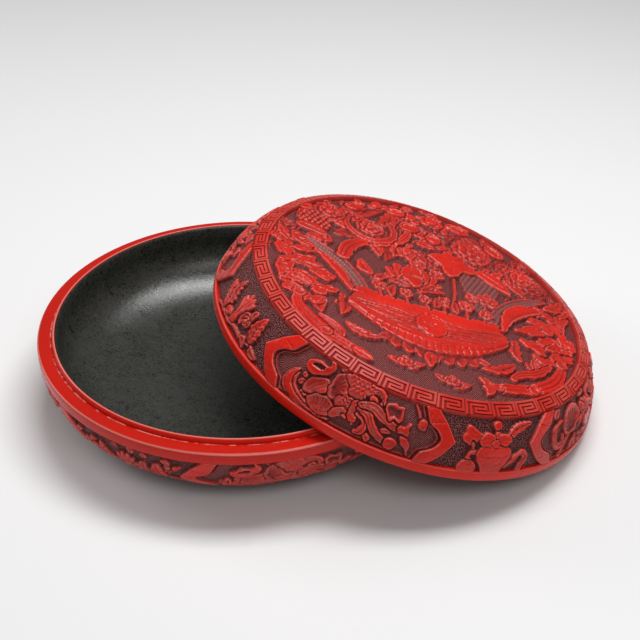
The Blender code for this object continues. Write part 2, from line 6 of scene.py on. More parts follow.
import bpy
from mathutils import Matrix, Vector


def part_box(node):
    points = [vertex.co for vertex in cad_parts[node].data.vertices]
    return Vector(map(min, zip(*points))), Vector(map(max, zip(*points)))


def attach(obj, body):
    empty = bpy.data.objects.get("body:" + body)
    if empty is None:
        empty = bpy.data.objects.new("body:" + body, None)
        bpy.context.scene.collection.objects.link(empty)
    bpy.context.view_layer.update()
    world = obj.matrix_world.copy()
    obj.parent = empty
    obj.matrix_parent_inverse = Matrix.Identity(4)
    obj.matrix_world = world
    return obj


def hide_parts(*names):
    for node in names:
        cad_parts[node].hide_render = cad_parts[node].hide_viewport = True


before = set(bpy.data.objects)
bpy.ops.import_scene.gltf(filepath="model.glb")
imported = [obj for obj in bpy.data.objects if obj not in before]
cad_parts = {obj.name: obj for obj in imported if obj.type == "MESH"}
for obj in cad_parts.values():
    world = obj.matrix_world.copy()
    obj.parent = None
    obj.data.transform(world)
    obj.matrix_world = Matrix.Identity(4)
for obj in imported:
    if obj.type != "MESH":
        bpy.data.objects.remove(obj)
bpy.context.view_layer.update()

import copy
import math

import bpy
import numpy as np
from mathutils import Matrix, Quaternion, Vector


# The wooden cores
# Boards, turned rings and bent hoops of pale softwood, glued edge to edge. Lacquer
# covers them on every side, so they keep the plain shapes of the frame.

def new_finish(name):
    """An empty finish: its material, its node tree and its shader."""
    finish = bpy.data.materials.new(name)
    finish.use_nodes = True
    return finish, finish.node_tree, finish.node_tree.nodes["Principled BSDF"]


def feed(tree, node, sockets):
    """Gives a node's sockets plain values or the outputs of other nodes."""
    for socket, value in sockets.items():
        if isinstance(value, bpy.types.NodeSocket):
            tree.links.new(value, node.inputs[socket])
        else:
            node.inputs[socket].default_value = value


def add_node(tree, kind, sockets, **settings):
    """A new node of a kind, with its settings made and its sockets fed."""
    node = tree.nodes.new("ShaderNode" + kind)
    for setting, value in settings.items():
        setattr(node, setting, value)
    feed(tree, node, sockets)
    return node


def object_place(tree):
    """Where a point of the piece lies, in metres."""
    return add_node(tree, "TexCoord", {}).outputs["Object"]


def noise(tree, place, scale, detail, **more):
    """Cloudy noise between 0 and 1."""
    cloudy = add_node(tree, "TexNoise", {"Vector": place, "Scale": scale, "Detail": detail, **more})
    return cloudy.outputs["Fac"]


def stored(tree, name, output="Fac"):
    """What a carved piece keeps at each of its points."""
    return add_node(tree, "Attribute", {}, attribute_name=name).outputs[output]


def colours_by(tree, value, stops):
    """The colour at a value between 0 and 1, read from a row of colour stops."""
    node = add_node(tree, "ValToRGB", {"Fac": value})
    row = node.color_ramp.elements
    while len(row) < len(stops):
        row.new(0.5)
    for element, (place, colour) in zip(row, stops):
        element.position = place
        element.color = (*colour, 1.0)
    return node.outputs["Color"]


def mixed(tree, share, first, second):
    """Two colours mixed by a share between 0 and 1."""
    colours = {socket: colour if isinstance(colour, bpy.types.NodeSocket) else (*colour, 1.0)
               for socket, colour in ((6, first), (7, second))}
    return add_node(tree, "Mix", {0: share, **colours}, data_type="RGBA").outputs[2]


def spread(tree, value, low, high, to_low=0.0, to_high=1.0):
    """A value stretched from one span to another, held at the ends."""
    return add_node(tree, "MapRange", {"Value": value, "From Min": low, "From Max": high,
                                       "To Min": to_low, "To Max": to_high}).outputs[0]


def times(tree, first, second):
    """Two values multiplied."""
    return add_node(tree, "Math", {0: first, 1: second}, operation="MULTIPLY").outputs[0]


def bumped(tree, height, strength, distance):
    """The direction that a surface faces when it follows fine heights."""
    return add_node(tree, "Bump", {"Height": height, "Strength": strength, "Distance": distance}).outputs[0]


def bare_wood():
    """Planed softwood with a fine straight grain."""
    finish, tree, shader = new_finish("bare_wood")
    drawn = add_node(tree, "Mapping", {"Vector": object_place(tree), "Scale": (60.0, 700.0, 700.0)})
    grain = noise(tree, drawn.outputs[0], 1.0, 4.0)
    shade = colours_by(tree, grain, ((0.3, (0.36, 0.22, 0.11)), (0.7, (0.55, 0.38, 0.22))))
    feed(tree, shader, {"Base Color": shade, "Normal": bumped(tree, grain, 0.2, 0.0002), "Roughness": 0.62})
    return finish


CORE_PIECES = ("base_core_floor", "base_core_bend", "base_core_hoop",
               "lid_core_top", "lid_core_shoulder", "lid_core_hoop")
core_finish = bare_wood()
for core_name in CORE_PIECES:
    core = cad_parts[core_name]
    core.data.materials.clear()
    core.data.materials.append(core_finish)


# The black dish, the underside and the foot ring
# Black lacquer over cloth and wood. The dish is rubbed to a soft sheen, and age has
# left it a grey-green cast with a fine leathery crackle.

FOOT_RADIUS, FOOT_WIDTH, FOOT_HEIGHT = 70.0, 6.0, 4.0
DISH_FLOOR_HEIGHT, DISH_FLOOR_RADIUS, DISH_WALL_RADIUS = 10.6, 62.0, 99.2
DISH_BACK, DISH_BAND_BOTTOM, DISH_TOP = 1.0, 37.5, 46.4
UNDERSIDE_THICKNESS, BOND_GAP = 0.8, 0.3
TURNED_SIDES = 256


def node_points(name):
    """A frame node's corners, each once, in millimetres."""
    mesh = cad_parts[name].data
    corners = np.empty(len(mesh.vertices) * 3)
    mesh.vertices.foreach_get("co", corners)
    return np.unique(np.round(corners.reshape(-1, 3) * 1000.0, 3), axis=0)


def placed_on(origin, axis):
    """The place of a turned part: its mouth's centre, and its axis, which leans towards +X."""
    up = Vector(axis).normalized()
    down_slope = Vector((up.z, 0.0, -up.x)).normalized()
    across = up.cross(down_slope)
    turn = Matrix((down_slope, across, up)).transposed().to_4x4()
    return Matrix.Translation(Vector(origin) / 1000.0) @ turn @ Matrix.Scale(0.001, 4)


foot_low, foot_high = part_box("base_foot_ring")
base_place = placed_on((500.0 * (foot_low[0] + foot_high[0]), 0.0, 0.0), (0.0, 0.0, 1.0))


def closed_mesh(name, points, faces, place, finish, body, node, smooth_to=35.0):
    """One solid piece of the box, set in its place and riding on its body."""
    mesh = bpy.data.meshes.new(name)
    world = np.array(place)
    points = np.asarray(points) @ world[:3, :3].T + world[:3, 3]
    mesh.from_pydata(points.tolist(), [], faces)
    mesh.shade_smooth()
    if smooth_to:
        mesh.set_sharp_from_angle(angle=math.radians(smooth_to))
    mesh.materials.append(finish)
    piece = bpy.data.objects.new(name, mesh)
    bpy.context.scene.collection.objects.link(piece)
    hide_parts(node)
    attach(piece, body)
    return piece


def arc(centre, radii, start, end, steps=12):
    """Points along part of an ellipse, by angle in degrees from outwards to upwards."""
    turns = [math.radians(start + (end - start) * step / steps) for step in range(steps + 1)]
    return [(centre[0] + radii[0] * math.cos(t), centre[1] + radii[1] * math.sin(t)) for t in turns]


def eased(section):
    """A section whose (radius, height, ease) corners are rounded by their ease."""
    points = []
    for index, (radius, height, ease) in enumerate(section):
        corner = np.array((radius, height))
        if ease == 0.0:
            points.append((radius, height))
            continue
        for step in range(9):
            share = step / 8.0
            before = np.array(section[index - 1][:2]) - corner
            after = np.array(section[(index + 1) % len(section)][:2]) - corner
            start = corner + before / np.hypot(*before) * ease
            end = corner + after / np.hypot(*after) * ease
            bend = start * (1 - share) ** 2 + corner * 2 * share * (1 - share) + end * share ** 2
            points.append(tuple(bend))
    return points


def ring_faces(rows, columns, closed=True):
    """The four-sided faces between rings of points, and from the last ring to the first if closed."""
    row, column = np.meshgrid(np.arange(rows if closed else rows - 1), np.arange(columns), indexing="ij")
    low, high = row * columns, (row + 1) % rows * columns
    beside = (column + 1) % columns
    return np.stack([low + column, high + column, high + beside, low + beside], -1).reshape(-1, 4).tolist()


def turned(name, section, place, finish, body, node):
    """A turned piece: its section of (radius, height) points swept round the axis."""
    turns = np.radians(np.arange(TURNED_SIDES) * 360.0 / TURNED_SIDES)
    off_axis = [p for p in section if p[0] > 0.0]
    points = np.concatenate([np.stack([radius * np.cos(turns), radius * np.sin(turns),
                                       np.full(TURNED_SIDES, height)], -1) for radius, height in off_axis])
    meets_axis = len(off_axis) < len(section)
    faces = ring_faces(len(off_axis), TURNED_SIDES, not meets_axis)
    if meets_axis:
        pole, low = len(points), len(points) - TURNED_SIDES
        points = np.concatenate([points, [(0.0, 0.0, section[0][1]), (0.0, 0.0, section[-1][1])]])
        for here in range(TURNED_SIDES):
            beside = (here + 1) % TURNED_SIDES
            faces += [(pole, here, beside), (pole + 1, low + beside, low + here)]
    return closed_mesh(name, points, faces, place, finish, body, node)


def black_lacquer(name, aged):
    """Black lacquer. Aged, it is greyer, with rubbed patches and a fine crackle."""
    finish, tree, shader = new_finish(name)
    place = object_place(tree)
    clouds = noise(tree, place, 55.0, 6.0, Roughness=0.62, Distortion=0.6)
    hide = noise(tree, place, 480.0, 5.0, Roughness=0.7, Distortion=1.2)
    skin = add_node(tree, "TexVoronoi", {"Vector": hide.node.outputs["Color"], "Scale": 3.0},
                    feature="DISTANCE_TO_EDGE")
    creases = spread(tree, skin.outputs["Distance"], 0.0, 0.12, 1.0, 0.0)
    worn = spread(tree, clouds, 0.40, 0.68)
    dark = colours_by(tree, worn, ((0.0, (0.007, 0.008, 0.006)), (1.0, (0.020 if aged else 0.012,) * 3)))
    pale = mixed(tree, creases, dark, (0.060, 0.061, 0.050) if aged else (0.02, 0.02, 0.02))
    fleck = spread(tree, hide, 0.52, 0.72, 0.0, 0.35 if aged else 0.1)
    feed(tree, shader, {"Base Color": mixed(tree, fleck, pale, (0.070, 0.072, 0.060)),
                        "Roughness": spread(tree, clouds, 0.3, 0.7, 0.20, 0.31),
                        "Normal": bumped(tree, hide, 0.35, 0.0004), "Specular IOR Level": 0.6})
    return finish


aged_black = black_lacquer("aged_black_lacquer", True)
plain_black = black_lacquer("plain_black_lacquer", False)

foot_inner = FOOT_RADIUS - FOOT_WIDTH
turned("base_foot_ring_lacquered",
       eased([(FOOT_RADIUS, FOOT_HEIGHT, 0.0), (FOOT_RADIUS, 0.0, 1.2), (foot_inner, 0.0, 1.2),
              (foot_inner, FOOT_HEIGHT, 0.0)]),
       base_place, plain_black, "base", "base_foot_ring")
turned("base_underside_lacquered",
       [(0.0, FOOT_HEIGHT), (foot_inner - BOND_GAP, FOOT_HEIGHT),
        (foot_inner - BOND_GAP, FOOT_HEIGHT - UNDERSIDE_THICKNESS),
        (0.0, FOOT_HEIGHT - UNDERSIDE_THICKNESS)],
       base_place, plain_black, "base", "base_underside")

dish_fall = DISH_BAND_BOTTOM - DISH_FLOOR_HEIGHT
dish_face = arc((DISH_FLOOR_RADIUS, DISH_BAND_BOTTOM), (DISH_WALL_RADIUS - DISH_FLOOR_RADIUS, dish_fall),
                -90.0, 0.0, 24)
dish_back = arc((DISH_FLOOR_RADIUS, DISH_BAND_BOTTOM),
                (DISH_WALL_RADIUS + DISH_BACK - DISH_FLOOR_RADIUS, dish_fall + DISH_BACK), 0.0, -90.0, 24)
dish_floor = [(DISH_FLOOR_RADIUS * share, DISH_FLOOR_HEIGHT) for share in (0.25, 0.5, 0.75)]
turned("base_dish",
       [(0.0, DISH_FLOOR_HEIGHT)] + dish_floor + dish_face
       + [(DISH_WALL_RADIUS, DISH_TOP - 1.6), (DISH_WALL_RADIUS + DISH_BACK - 0.1, DISH_TOP - 0.1),
          (DISH_WALL_RADIUS + DISH_BACK, DISH_TOP)]
       + dish_back + [(0.0, DISH_FLOOR_HEIGHT - DISH_BACK)],
       base_place, aged_black, "base", "base_lining")


# The lip
# A thin ring of wood lacquered red, let into the ledge. It locates the closed lid,
# and a pale line along its crown is a painted highlight.

LIP_OUTER_RADIUS, LIP_INNER_RADIUS, LIP_TOP, LIP_BOTTOM, LIP_GAP = 102.4, 100.5, 46.8, 42.4, 0.04
# The pale scarlet of raised edges is wear and a painted highlight. The pale pink of the rims' fine lines is
# mostly painted highlight and partly wear. The darker red is painted shade.
SCARLET, WEAR_AND_HIGHLIGHT_SCARLET, CUT_RED = (0.66, 0.013, 0.004), (0.82, 0.15, 0.11), (0.24, 0.009, 0.007)
HIGHLIGHT_AND_WEAR_PINK, PAINTED_SHADE_RED = (0.80, 0.30, 0.25), (0.40, 0.009, 0.004)


def scarlet_coat(name, darkest):
    """A new red finish: its parts, the place on the piece, two kinds of noise and an uneven scarlet."""
    finish, tree, shader = new_finish(name)
    place = object_place(tree)
    clouds, grit = noise(tree, place, 38.0, 5.0), noise(tree, place, 420.0, 3.0)
    scarlet = mixed(tree, spread(tree, clouds, 0.35, 0.65), SCARLET,
                    tuple(darkest * part for part in SCARLET))
    return finish, tree, shader, place, clouds, grit, scarlet


def ringed_red(name, part_place, rings):
    """Plain red, made paler or darker along rings, for painted highlights, painted shade and wear. Each has
    a radius, level and reach in mm, a share and a colour.

    The last word of a ring says whether it is worn in patches.
    """
    finish, tree, shader, place, clouds, grit, colour = scarlet_coat(name, 0.86)
    upright = add_node(tree, "Mapping", {"Vector": place, "Location": tuple(part_place.translation),
                                         "Rotation": tuple(part_place.to_euler()),
                                         "Scale": (0.001, 0.001, 0.001)}, vector_type="TEXTURE").outputs[0]
    level = add_node(tree, "SeparateXYZ", {"Vector": upright}).outputs["Z"]
    plan = add_node(tree, "VectorMath", {0: upright, 1: (1.0, 1.0, 0.0)}, operation="MULTIPLY").outputs[0]
    out = add_node(tree, "VectorMath", {0: plan}, operation="LENGTH").outputs["Value"]
    section = add_node(tree, "CombineXYZ", {"X": out, "Z": level}).outputs[0]
    patches = spread(tree, noise(tree, place, 260.0, 2.0), 0.44, 0.58)
    # Each ring mixes in its own colour; the calls below say which rings are painted highlights, painted
    # shade and wear.
    for radius, height, reach, share, paler, patchy in rings:
        from_ring = add_node(tree, "VectorMath", {0: section, 1: (radius, 0.0, height)},
                             operation="DISTANCE")
        worn = spread(tree, from_ring.outputs["Value"], 0.3 * reach, reach, share, 0.0)
        colour = mixed(tree, times(tree, worn, patches) if patchy else worn, colour, paler)
    feed(tree, shader, {"Base Color": colour, "Roughness": spread(tree, grit, 0.3, 0.7, 0.22, 0.28),
                        "Normal": bumped(tree, clouds, 0.12, 0.0008), "Specular IOR Level": 0.20})
    return finish


turned("base_lip_lacquered",
       [(LIP_OUTER_RADIUS, LIP_BOTTOM), (LIP_INNER_RADIUS, LIP_BOTTOM), (LIP_INNER_RADIUS, LIP_TOP - 0.5)]
       + arc((LIP_INNER_RADIUS + 0.5, LIP_TOP - 0.5), (0.5, 0.5), 180.0, 60.0, 6)
       + [(LIP_OUTER_RADIUS - 0.7, LIP_TOP - 0.5), (LIP_OUTER_RADIUS - 0.2, LIP_TOP - 1.4),
          (LIP_OUTER_RADIUS, LIP_TOP - 2.4)],
       base_place,
       # The pale line along the lip's crown is a painted highlight.
       ringed_red("lip_red", base_place,
                  [(LIP_INNER_RADIUS + 0.5, LIP_TOP, 0.8, 0.55, HIGHLIGHT_AND_WEAR_PINK, False)]),
       "base", "base_lip")


# The base's red coat
# Many layers of red lacquer over the hoop: a plain ledge and rim band, and a wall
# that is carved down to the dark ground between scrolls, leaves and frames.

RIM_RADIUS, BASE_HEIGHT, BASE_BAND_HEIGHT = 110.0, 44.0, 6.5
COAT_THICKNESS, WALL_CUT = 3.2, 2.2
MM_PER_DEGREE, CARTOUCHE_HALF = 1.815, 43.0
WALL_COLUMNS, WALL_STEP, FINE_WALL, COARSE_ROWS, FRAME_FOOT = 1130, 0.56, 34.0, 22, -28.4
# The rose of the ground is its hatch and dot pattern with a painted highlight on the raised lines and dots.
# The groove brown is painted shade.
GROUND_BROWN, GROUND_PATTERN_HIGHLIGHT_ROSE, GROOVE_SHADE_BROWN = (0.032, 0.006, 0.007), (0.40, 0.085, 0.078), (0.085, 0.010, 0.010)
HOLLOW_DUST, FOLD_DARK, FOLD_PALE = (0.40, 0.105, 0.090), (0.17, 0.040, 0.038), (0.30, 0.085, 0.080)


def carved_lacquer():
    """The carved coat: scarlet where it is whole, purple-brown where it is cut deep and dull in hollows. Its
    raised edges are paler, for wear and a painted highlight, and its grooves browner, a painted shade.
    """
    finish, tree, shader, place, _, grit, scarlet = scarlet_coat("carved_red_lacquer", 0.72)
    left, edge = stored(tree, "lacquer_left"), stored(tree, "knife_edge")
    flat = stored(tree, "laid_flat", "Vector")
    zone = add_node(tree, "SeparateXYZ", {"Vector": flat}).outputs["Z"]
    slant = add_node(tree, "Mapping", {"Vector": flat, "Rotation": (0.0, 0.0, 0.6)}).outputs[0]
    hatch = add_node(tree, "TexWave", {"Vector": slant, "Scale": 0.40, "Distortion": 5.0, "Detail": 3.0,
                                       "Detail Scale": 1.8}).outputs["Fac"]
    dots = add_node(tree, "TexVoronoi", {"Vector": flat, "Scale": 0.95, "Randomness": 0.75},
                    voronoi_dimensions="2D").outputs["Distance"]
    # The ground's pattern is coloured rose where its lines and dots stand: a real pattern with a painted
    # highlight.
    punched = add_node(tree, "Mix", {0: zone, 2: spread(tree, hatch, 0.36, 0.80),
                                     3: spread(tree, dots, 0.16, 0.44, 1.0, 0.0)}).outputs[0]
    ground = mixed(tree, punched, GROUND_BROWN, GROUND_PATTERN_HIGHLIGHT_ROSE)
    cut = mixed(tree, spread(tree, left, 0.04, 0.42), ground, CUT_RED)
    hollow = times(tree, spread(tree, left, 0.44, 0.60), spread(tree, left, 0.72, 0.84, 1.0, 0.0))
    dust = times(tree, spread(tree, grit, 0.36, 0.62, 0.1, 0.75), spread(tree, zone, -0.9, -0.1, 0.30, 1.0))
    top = mixed(tree, times(tree, hollow, dust), scarlet, HOLLOW_DUST)
    whole = mixed(tree, spread(tree, left, 0.38, 0.74), cut, top)
    whole = mixed(tree, spread(tree, zone, 1.2, 1.8), whole, mixed(tree, hatch, FOLD_DARK, FOLD_PALE))
    # Raised edges turn paler: wear and a painted highlight.
    edge_highlight_and_wear = times(tree, spread(tree, edge, 0.12, 0.55, 0.0, 0.75), spread(tree, left, 0.5, 0.9))
    edges_highlighted_and_worn = mixed(tree, edge_highlight_and_wear, whole, WEAR_AND_HIGHLIGHT_SCARLET)
    # Grooves and hollows below their surroundings turn brown: painted shade.
    grooves_shaded = mixed(tree, spread(tree, edge, -0.08, -0.45, 0.0, 0.8), edges_highlighted_and_worn, GROOVE_SHADE_BROWN)
    stipple = times(tree, punched, spread(tree, left, 0.1, 0.35, 1.0, 0.0))
    facets = add_node(tree, "TexVoronoi", {"Vector": place, "Scale": 520.0, "Randomness": 1.0},
                      feature="SMOOTH_F1").outputs["Distance"]
    chiselled = add_node(tree, "Math", {0: facets, 1: grit}).outputs[0]
    relief = add_node(tree, "Math", {0: chiselled, 1: 0.52, 2: stipple},
                      operation="MULTIPLY_ADD").outputs[0]
    feed(tree, shader, {"Base Color": grooves_shaded, "Roughness": spread(tree, left, 0.15, 0.7, 0.52, 0.28),
                        "Normal": bumped(tree, relief, 0.8, 0.0006), "Specular IOR Level": 0.30})
    return finish


carved_red = carved_lacquer()


class CarvedFace:
    """A face of the coat laid out flat, with the height of lacquer left above the ground."""

    def __init__(self, along, across, loop=None):
        self.along, self.across, self.loop = along, across, loop
        self.height = np.zeros(along.shape)
        self.wobble = 0.34 * hand_cut(along, across, 21, 2.6, 7.0)

    def offsets(self, centre):
        """How far along and across from a centre each point lies, the short way round a loop."""
        run = self.along - centre[0]
        if self.loop:
            run = (run + self.loop / 2.0) % self.loop - self.loop / 2.0
        return run, self.across - centre[1]

    def spot(self, centre, reach, turn=0.0, mirror=False):
        """The part of the face round a centre, in its own turned coordinates."""
        run, rise = self.offsets(centre)
        near = np.nonzero((np.abs(run) < reach) & (np.abs(rise) < reach))
        x, y = turned_by(turn, run[near], rise[near])
        return Spot(self, near, -x if mirror else x, y)

    def from_here(self, centre, mirror=False, turn=0.0):
        """The same face, measured from another point, so that a design can be set down there."""
        along, across = turned_by(turn, *self.offsets(centre))
        view = copy.copy(self)
        view.along, view.across, view.loop = -along if mirror else along, across, None
        return view


def turned_by(degrees, run, rise):
    """Offsets seen from axes that are turned by an angle."""
    cosine, sine = math.cos(math.radians(degrees)), math.sin(math.radians(degrees))
    return cosine * run + sine * rise, cosine * rise - sine * run


class Spot:
    """A small patch of a carved face that one motif is cut in."""

    def __init__(self, face, near, x, y):
        self.face, self.near, self.x, self.y = face, near, x, y

    def within(self, outline):
        """Distance inside a closed outline, negative outside it."""
        start = np.asarray(outline, float)
        run = np.roll(start, -1, axis=0) - start
        dx, dy = self.x[:, None] - start[:, 0], self.y[:, None] - start[:, 1]
        share = np.clip((dx * run[:, 0] + dy * run[:, 1]) / np.maximum((run ** 2).sum(1), 1e-9), 0.0, 1.0)
        away = np.hypot(dx - share * run[:, 0], dy - share * run[:, 1]).min(axis=1)
        crosses = (dy >= 0.0) != (dy - run[:, 1] >= 0.0)
        slope = np.where(run[:, 1] == 0.0, 1.0, run[:, 1])
        inside = (crosses & (dx < dy / slope * run[:, 0])).sum(axis=1) % 2 == 1
        return np.where(inside, away, -away)

    def along_line(self, line, widths):
        """Distance inside a tapered stroke, and how far across it each point lies, -1 to 1."""
        line = np.asarray(line, float)
        half = np.broadcast_to(np.asarray(widths, float) / 2.0, len(line))
        start, run = line[:-1], np.diff(line, axis=0)
        dx, dy = self.x[:, None] - start[:, 0], self.y[:, None] - start[:, 1]
        share = np.clip((dx * run[:, 0] + dy * run[:, 1]) / np.maximum((run ** 2).sum(1), 1e-9), 0.0, 1.0)
        away = np.hypot(dx - share * run[:, 0], dy - share * run[:, 1])
        room = half[:-1] + share * np.diff(half) - away
        best = room.argmax(axis=1)
        rows = np.arange(len(self.x))
        side = np.sign(run[best, 0] * dy[rows, best] - run[best, 1] * dx[rows, best])
        width = half[best] + share[rows, best] * (half[best + 1] - half[best])
        return room[rows, best], side * away[rows, best] / np.maximum(width, 1e-6)

    def leave(self, inside, top, edge=0.8, cup=0.0, lip=0.9, crown=0.0, moat=0.6, sink=3.0, swell=0.4,
              lean=None):
        """Leaves a raised form: a rounded shoulder, a cupped, crowned or leaning top and a moat round it."""
        if swell:
            inside = inside + swell + self.face.wobble[self.near]
        height = self.face.height[self.near]
        shoulder = np.sqrt(1.0 - (1.0 - np.clip(inside / edge, 0.0, 1.0)) ** 2)
        slope = np.clip((inside - 0.6 * lip) / (2.2 * lip), 0.0, 1.0)
        raised = (top * shoulder - cup * slope * slope * (3.0 - 2.0 * slope)
                  + crown * (1.0 - np.exp(-np.maximum(inside, 0.0) / 3.0)))
        if lean and (inside > 0.0).any():
            high, fall = math.radians(lean[0]), lean[1]
            run = self.x * math.cos(high) + self.y * math.sin(high)
            ends = run[inside > 0.0].min(), run[inside > 0.0].max()
            share = (ends[1] - run) / (ends[1] - ends[0] + 0.01)
            raised = raised - shoulder * fall * np.clip(share, 0.0, 1.0)
        ditch = np.clip(-inside / moat, 0.0, 1.0)
        outside = np.maximum(height - sink * (1.0 - ditch), np.minimum(height, 0.1))
        self.face.height[self.near] = np.where(inside > 0.0, raised, outside)

    def groove(self, line, width=1.0, depth=0.8):
        """Cuts a V line with the corner of the knife, in what stands above the ground."""
        inside, _ = self.along_line(line, width)
        height = self.face.height[self.near]
        cut = depth * np.clip(inside / (width / 2.0), 0.0, 1.0)
        self.face.height[self.near] = np.where(height > 0.35, np.maximum(height - cut, 0.25), height)

    def bead(self, line, width=0.9, top=1.2):
        """Leaves a fine raised line."""
        inside, _ = self.along_line(line, width)
        raised = top * np.sqrt(1.0 - (1.0 - np.clip(inside / (np.max(width) / 2.0), 0.0, 1.0)) ** 2)
        height = self.face.height[self.near]
        self.face.height[self.near] = np.maximum(height, raised)


def flowing(points, closed=False, steps=6):
    """A smooth line through the given points."""
    points = np.asarray(points, float)
    count = len(points)
    if closed:
        picked = [points[np.arange(index - 1, index + 3) % count] for index in range(count)]
    else:
        held = np.concatenate([[2 * points[0] - points[1]], points, [2 * points[-1] - points[-2]]])
        picked = [held[index:index + 4] for index in range(count - 1)]
    line = []
    for p0, p1, p2, p3 in picked:
        for t in np.arange(steps) / steps:
            line.append(0.5 * (2 * p1 + (p2 - p0) * t + (2 * p0 - 5 * p1 + 4 * p2 - p3) * t ** 2
                               + (3 * p1 - p0 - 3 * p2 + p3) * t ** 3))
    return np.array(line if closed else line + [points[-1]])


def ring(centre, radius, count=24):
    """A circle's points."""
    turns = np.radians(np.arange(count) * 360.0 / count)
    return np.stack([centre[0] + radius * np.cos(turns), centre[1] + radius * np.sin(turns)], -1)


def leaf(face, root, tip, width, bend=0.15, teeth=0, top=2.0, fold=0.7, ribs=3):
    """A leaf from its root to its tip, bent to one side and folded along its midrib."""
    root, tip = np.array(root, float), np.array(tip, float)
    length = np.hypot(*(tip - root))
    turn = math.degrees(math.atan2(tip[1] - root[1], tip[0] - root[0]))
    spot = face.spot((root + tip) / 2.0, length * 0.5 + width + 2.0, turn)
    share = np.linspace(0.0, 1.0, 25)
    spine = np.stack([(share - 0.5) * length, bend * length * 4.0 * share * (1.0 - share)], -1)
    half = 0.5 * width * np.sin(np.pi * share ** 0.8) ** 0.75
    if teeth:
        half = half * (0.80 + 0.34 * (1.0 - (share * teeth) % 1.0))
    half[0] = half[-1] = 0.0
    outline = np.concatenate([spine + [0.0, 1.0] * half[:, None],
                              (spine - [0.0, 1.0] * half[:, None])[::-1][1:-1]])
    spot.leave(spot.within(outline), top, edge=0.8, cup=fold, lip=max(0.22 * width, 0.7))
    spot.groove(spine[1:-2], 1.0, 0.7)
    for rib in range(ribs if width > 4.0 else 0):
        at = int(4 + rib * 15 / max(ribs, 1))
        for side in (-1.0, 1.0):
            end = spine[at] + np.array((0.18 * length, side * 0.44 * width))
            spot.groove([spine[at], end], 0.8, 0.5)


def petal(spot, root, angle, length, width, top, cup=0.9):
    """One cupped, ruffled petal that grows from a root."""
    shape = np.array([(0.0, 0.16), (0.35, 0.44), (0.74, 0.52), (0.97, 0.30), (0.90, 0.0),
                      (0.97, -0.30), (0.74, -0.52), (0.35, -0.44), (0.0, -0.16)])
    turn = math.radians(angle)
    x, y = shape[:, 0] * length, shape[:, 1] * width
    outline = np.stack([root[0] + x * math.cos(turn) - y * math.sin(turn),
                        root[1] + x * math.sin(turn) + y * math.cos(turn)], -1)
    spot.leave(spot.within(flowing(outline, True, 3)), top, edge=0.7, cup=cup, lip=max(0.16 * width, 0.55),
               moat=0.7, sink=1.3)


def peony(face, centre, radius, turn=0.0, top=2.3):
    """A full peony seen from above: rings of cupped petals round a tight heart."""
    spot = face.spot(centre, radius * 1.2 + 1.0, turn)
    full, small = ((7, 0.40, 1.0, 0.95, 0.5), (5, 0.16, 0.68, 0.82, 0.2)), ((5, 0.2, 1.0, 0.9, 0.3),)
    rings = full if radius > 6.5 else small
    for count, start, reach, breadth, drop in rings:
        for index in range(count):
            angle = 360.0 * (index + 0.5 * (count % 2)) / count
            away = radius * start
            root = (away * math.cos(math.radians(angle)), away * math.sin(math.radians(angle)))
            width = 2.0 * math.pi * radius * reach * breadth / count * 0.86
            petal(spot, root, angle, radius * (reach - start), width, top - drop)
    heart = radius * 0.24
    spot.leave(spot.within(ring((0.0, 0.0), heart)), top + 0.1, edge=0.9, moat=0.7, sink=1.5)
    spot.groove(flowing(curl((0.0, 0.0), heart * 0.62, 200.0, -1.0)), 0.8, 0.6)


def blossom(face, centre, radius, turn=0.0, top=2.0):
    """A small five-petalled blossom with a round eye."""
    spot = face.spot(centre, radius * 1.25 + 1.0, turn)
    for index in range(5):
        angle = math.radians(72.0 * index)
        middle = (radius * 0.58 * math.cos(angle), radius * 0.58 * math.sin(angle))
        spot.leave(spot.within(ring(middle, radius * 0.46, 14)), top, edge=0.8, cup=0.6, lip=0.7,
                   moat=0.6, sink=1.2)
    spot.leave(spot.within(ring((0.0, 0.0), radius * 0.26, 12)), top + 0.2, edge=0.7, moat=0.5, sink=1.4)


def strokes(face, lines, width=0.8, depth=0.55):
    """Lines cut with the knife in what already stands, each bent through its points."""
    for line in lines:
        line = np.asarray(line, float)
        middle = (line.max(0) + line.min(0)) / 2.0
        spot = face.spot(middle, max(line.max(0) - line.min(0)) / 2.0 + width)
        spot.groove(flowing(line - middle), width, depth)


def scroll(face, points, widths, top=1.9, grooves=(0.0,), moat=0.7, crown=0.0, edge=0.7):
    """A flowing band with grooves along it, such as a ribbon, stem or tendril."""
    points = np.asarray(points, float)
    middle = (points.max(0) + points.min(0)) / 2.0
    reach = max(points.max(0) - points.min(0)) / 2.0 + np.max(widths) + 2.0
    spot = face.spot(middle, reach)
    line = flowing(points - middle, steps=5)
    span = np.interp(np.linspace(0, 1, len(line)), np.linspace(0, 1, len(np.atleast_1d(widths))),
                     np.atleast_1d(widths))
    inside, across = spot.along_line(line, span)
    spot.leave(inside, top, edge=edge, moat=moat, crown=crown)
    height = face.height[spot.near]
    for place in grooves:
        off = np.abs(across - place) * np.mean(span) / 2.0
        height = np.where((inside > 0.3) & (off < 0.55), height - 1.0 * (1.0 - off / 0.55), height)
    face.height[spot.near] = height


def curl(centre, radius, start, turns, shrink=0.25, steps=10):
    """Points of a spiral that winds in from a start angle. Negative turns wind clockwise."""
    count = max(int(abs(turns) * steps), 3)
    share = np.linspace(0.0, 1.0, count + 1)
    angle = np.radians(start) + 2.0 * np.pi * turns * share
    reach = radius * (1.0 - (1.0 - shrink) * share)
    return np.stack([centre[0] + reach * np.cos(angle), centre[1] + reach * np.sin(angle)], -1).tolist()


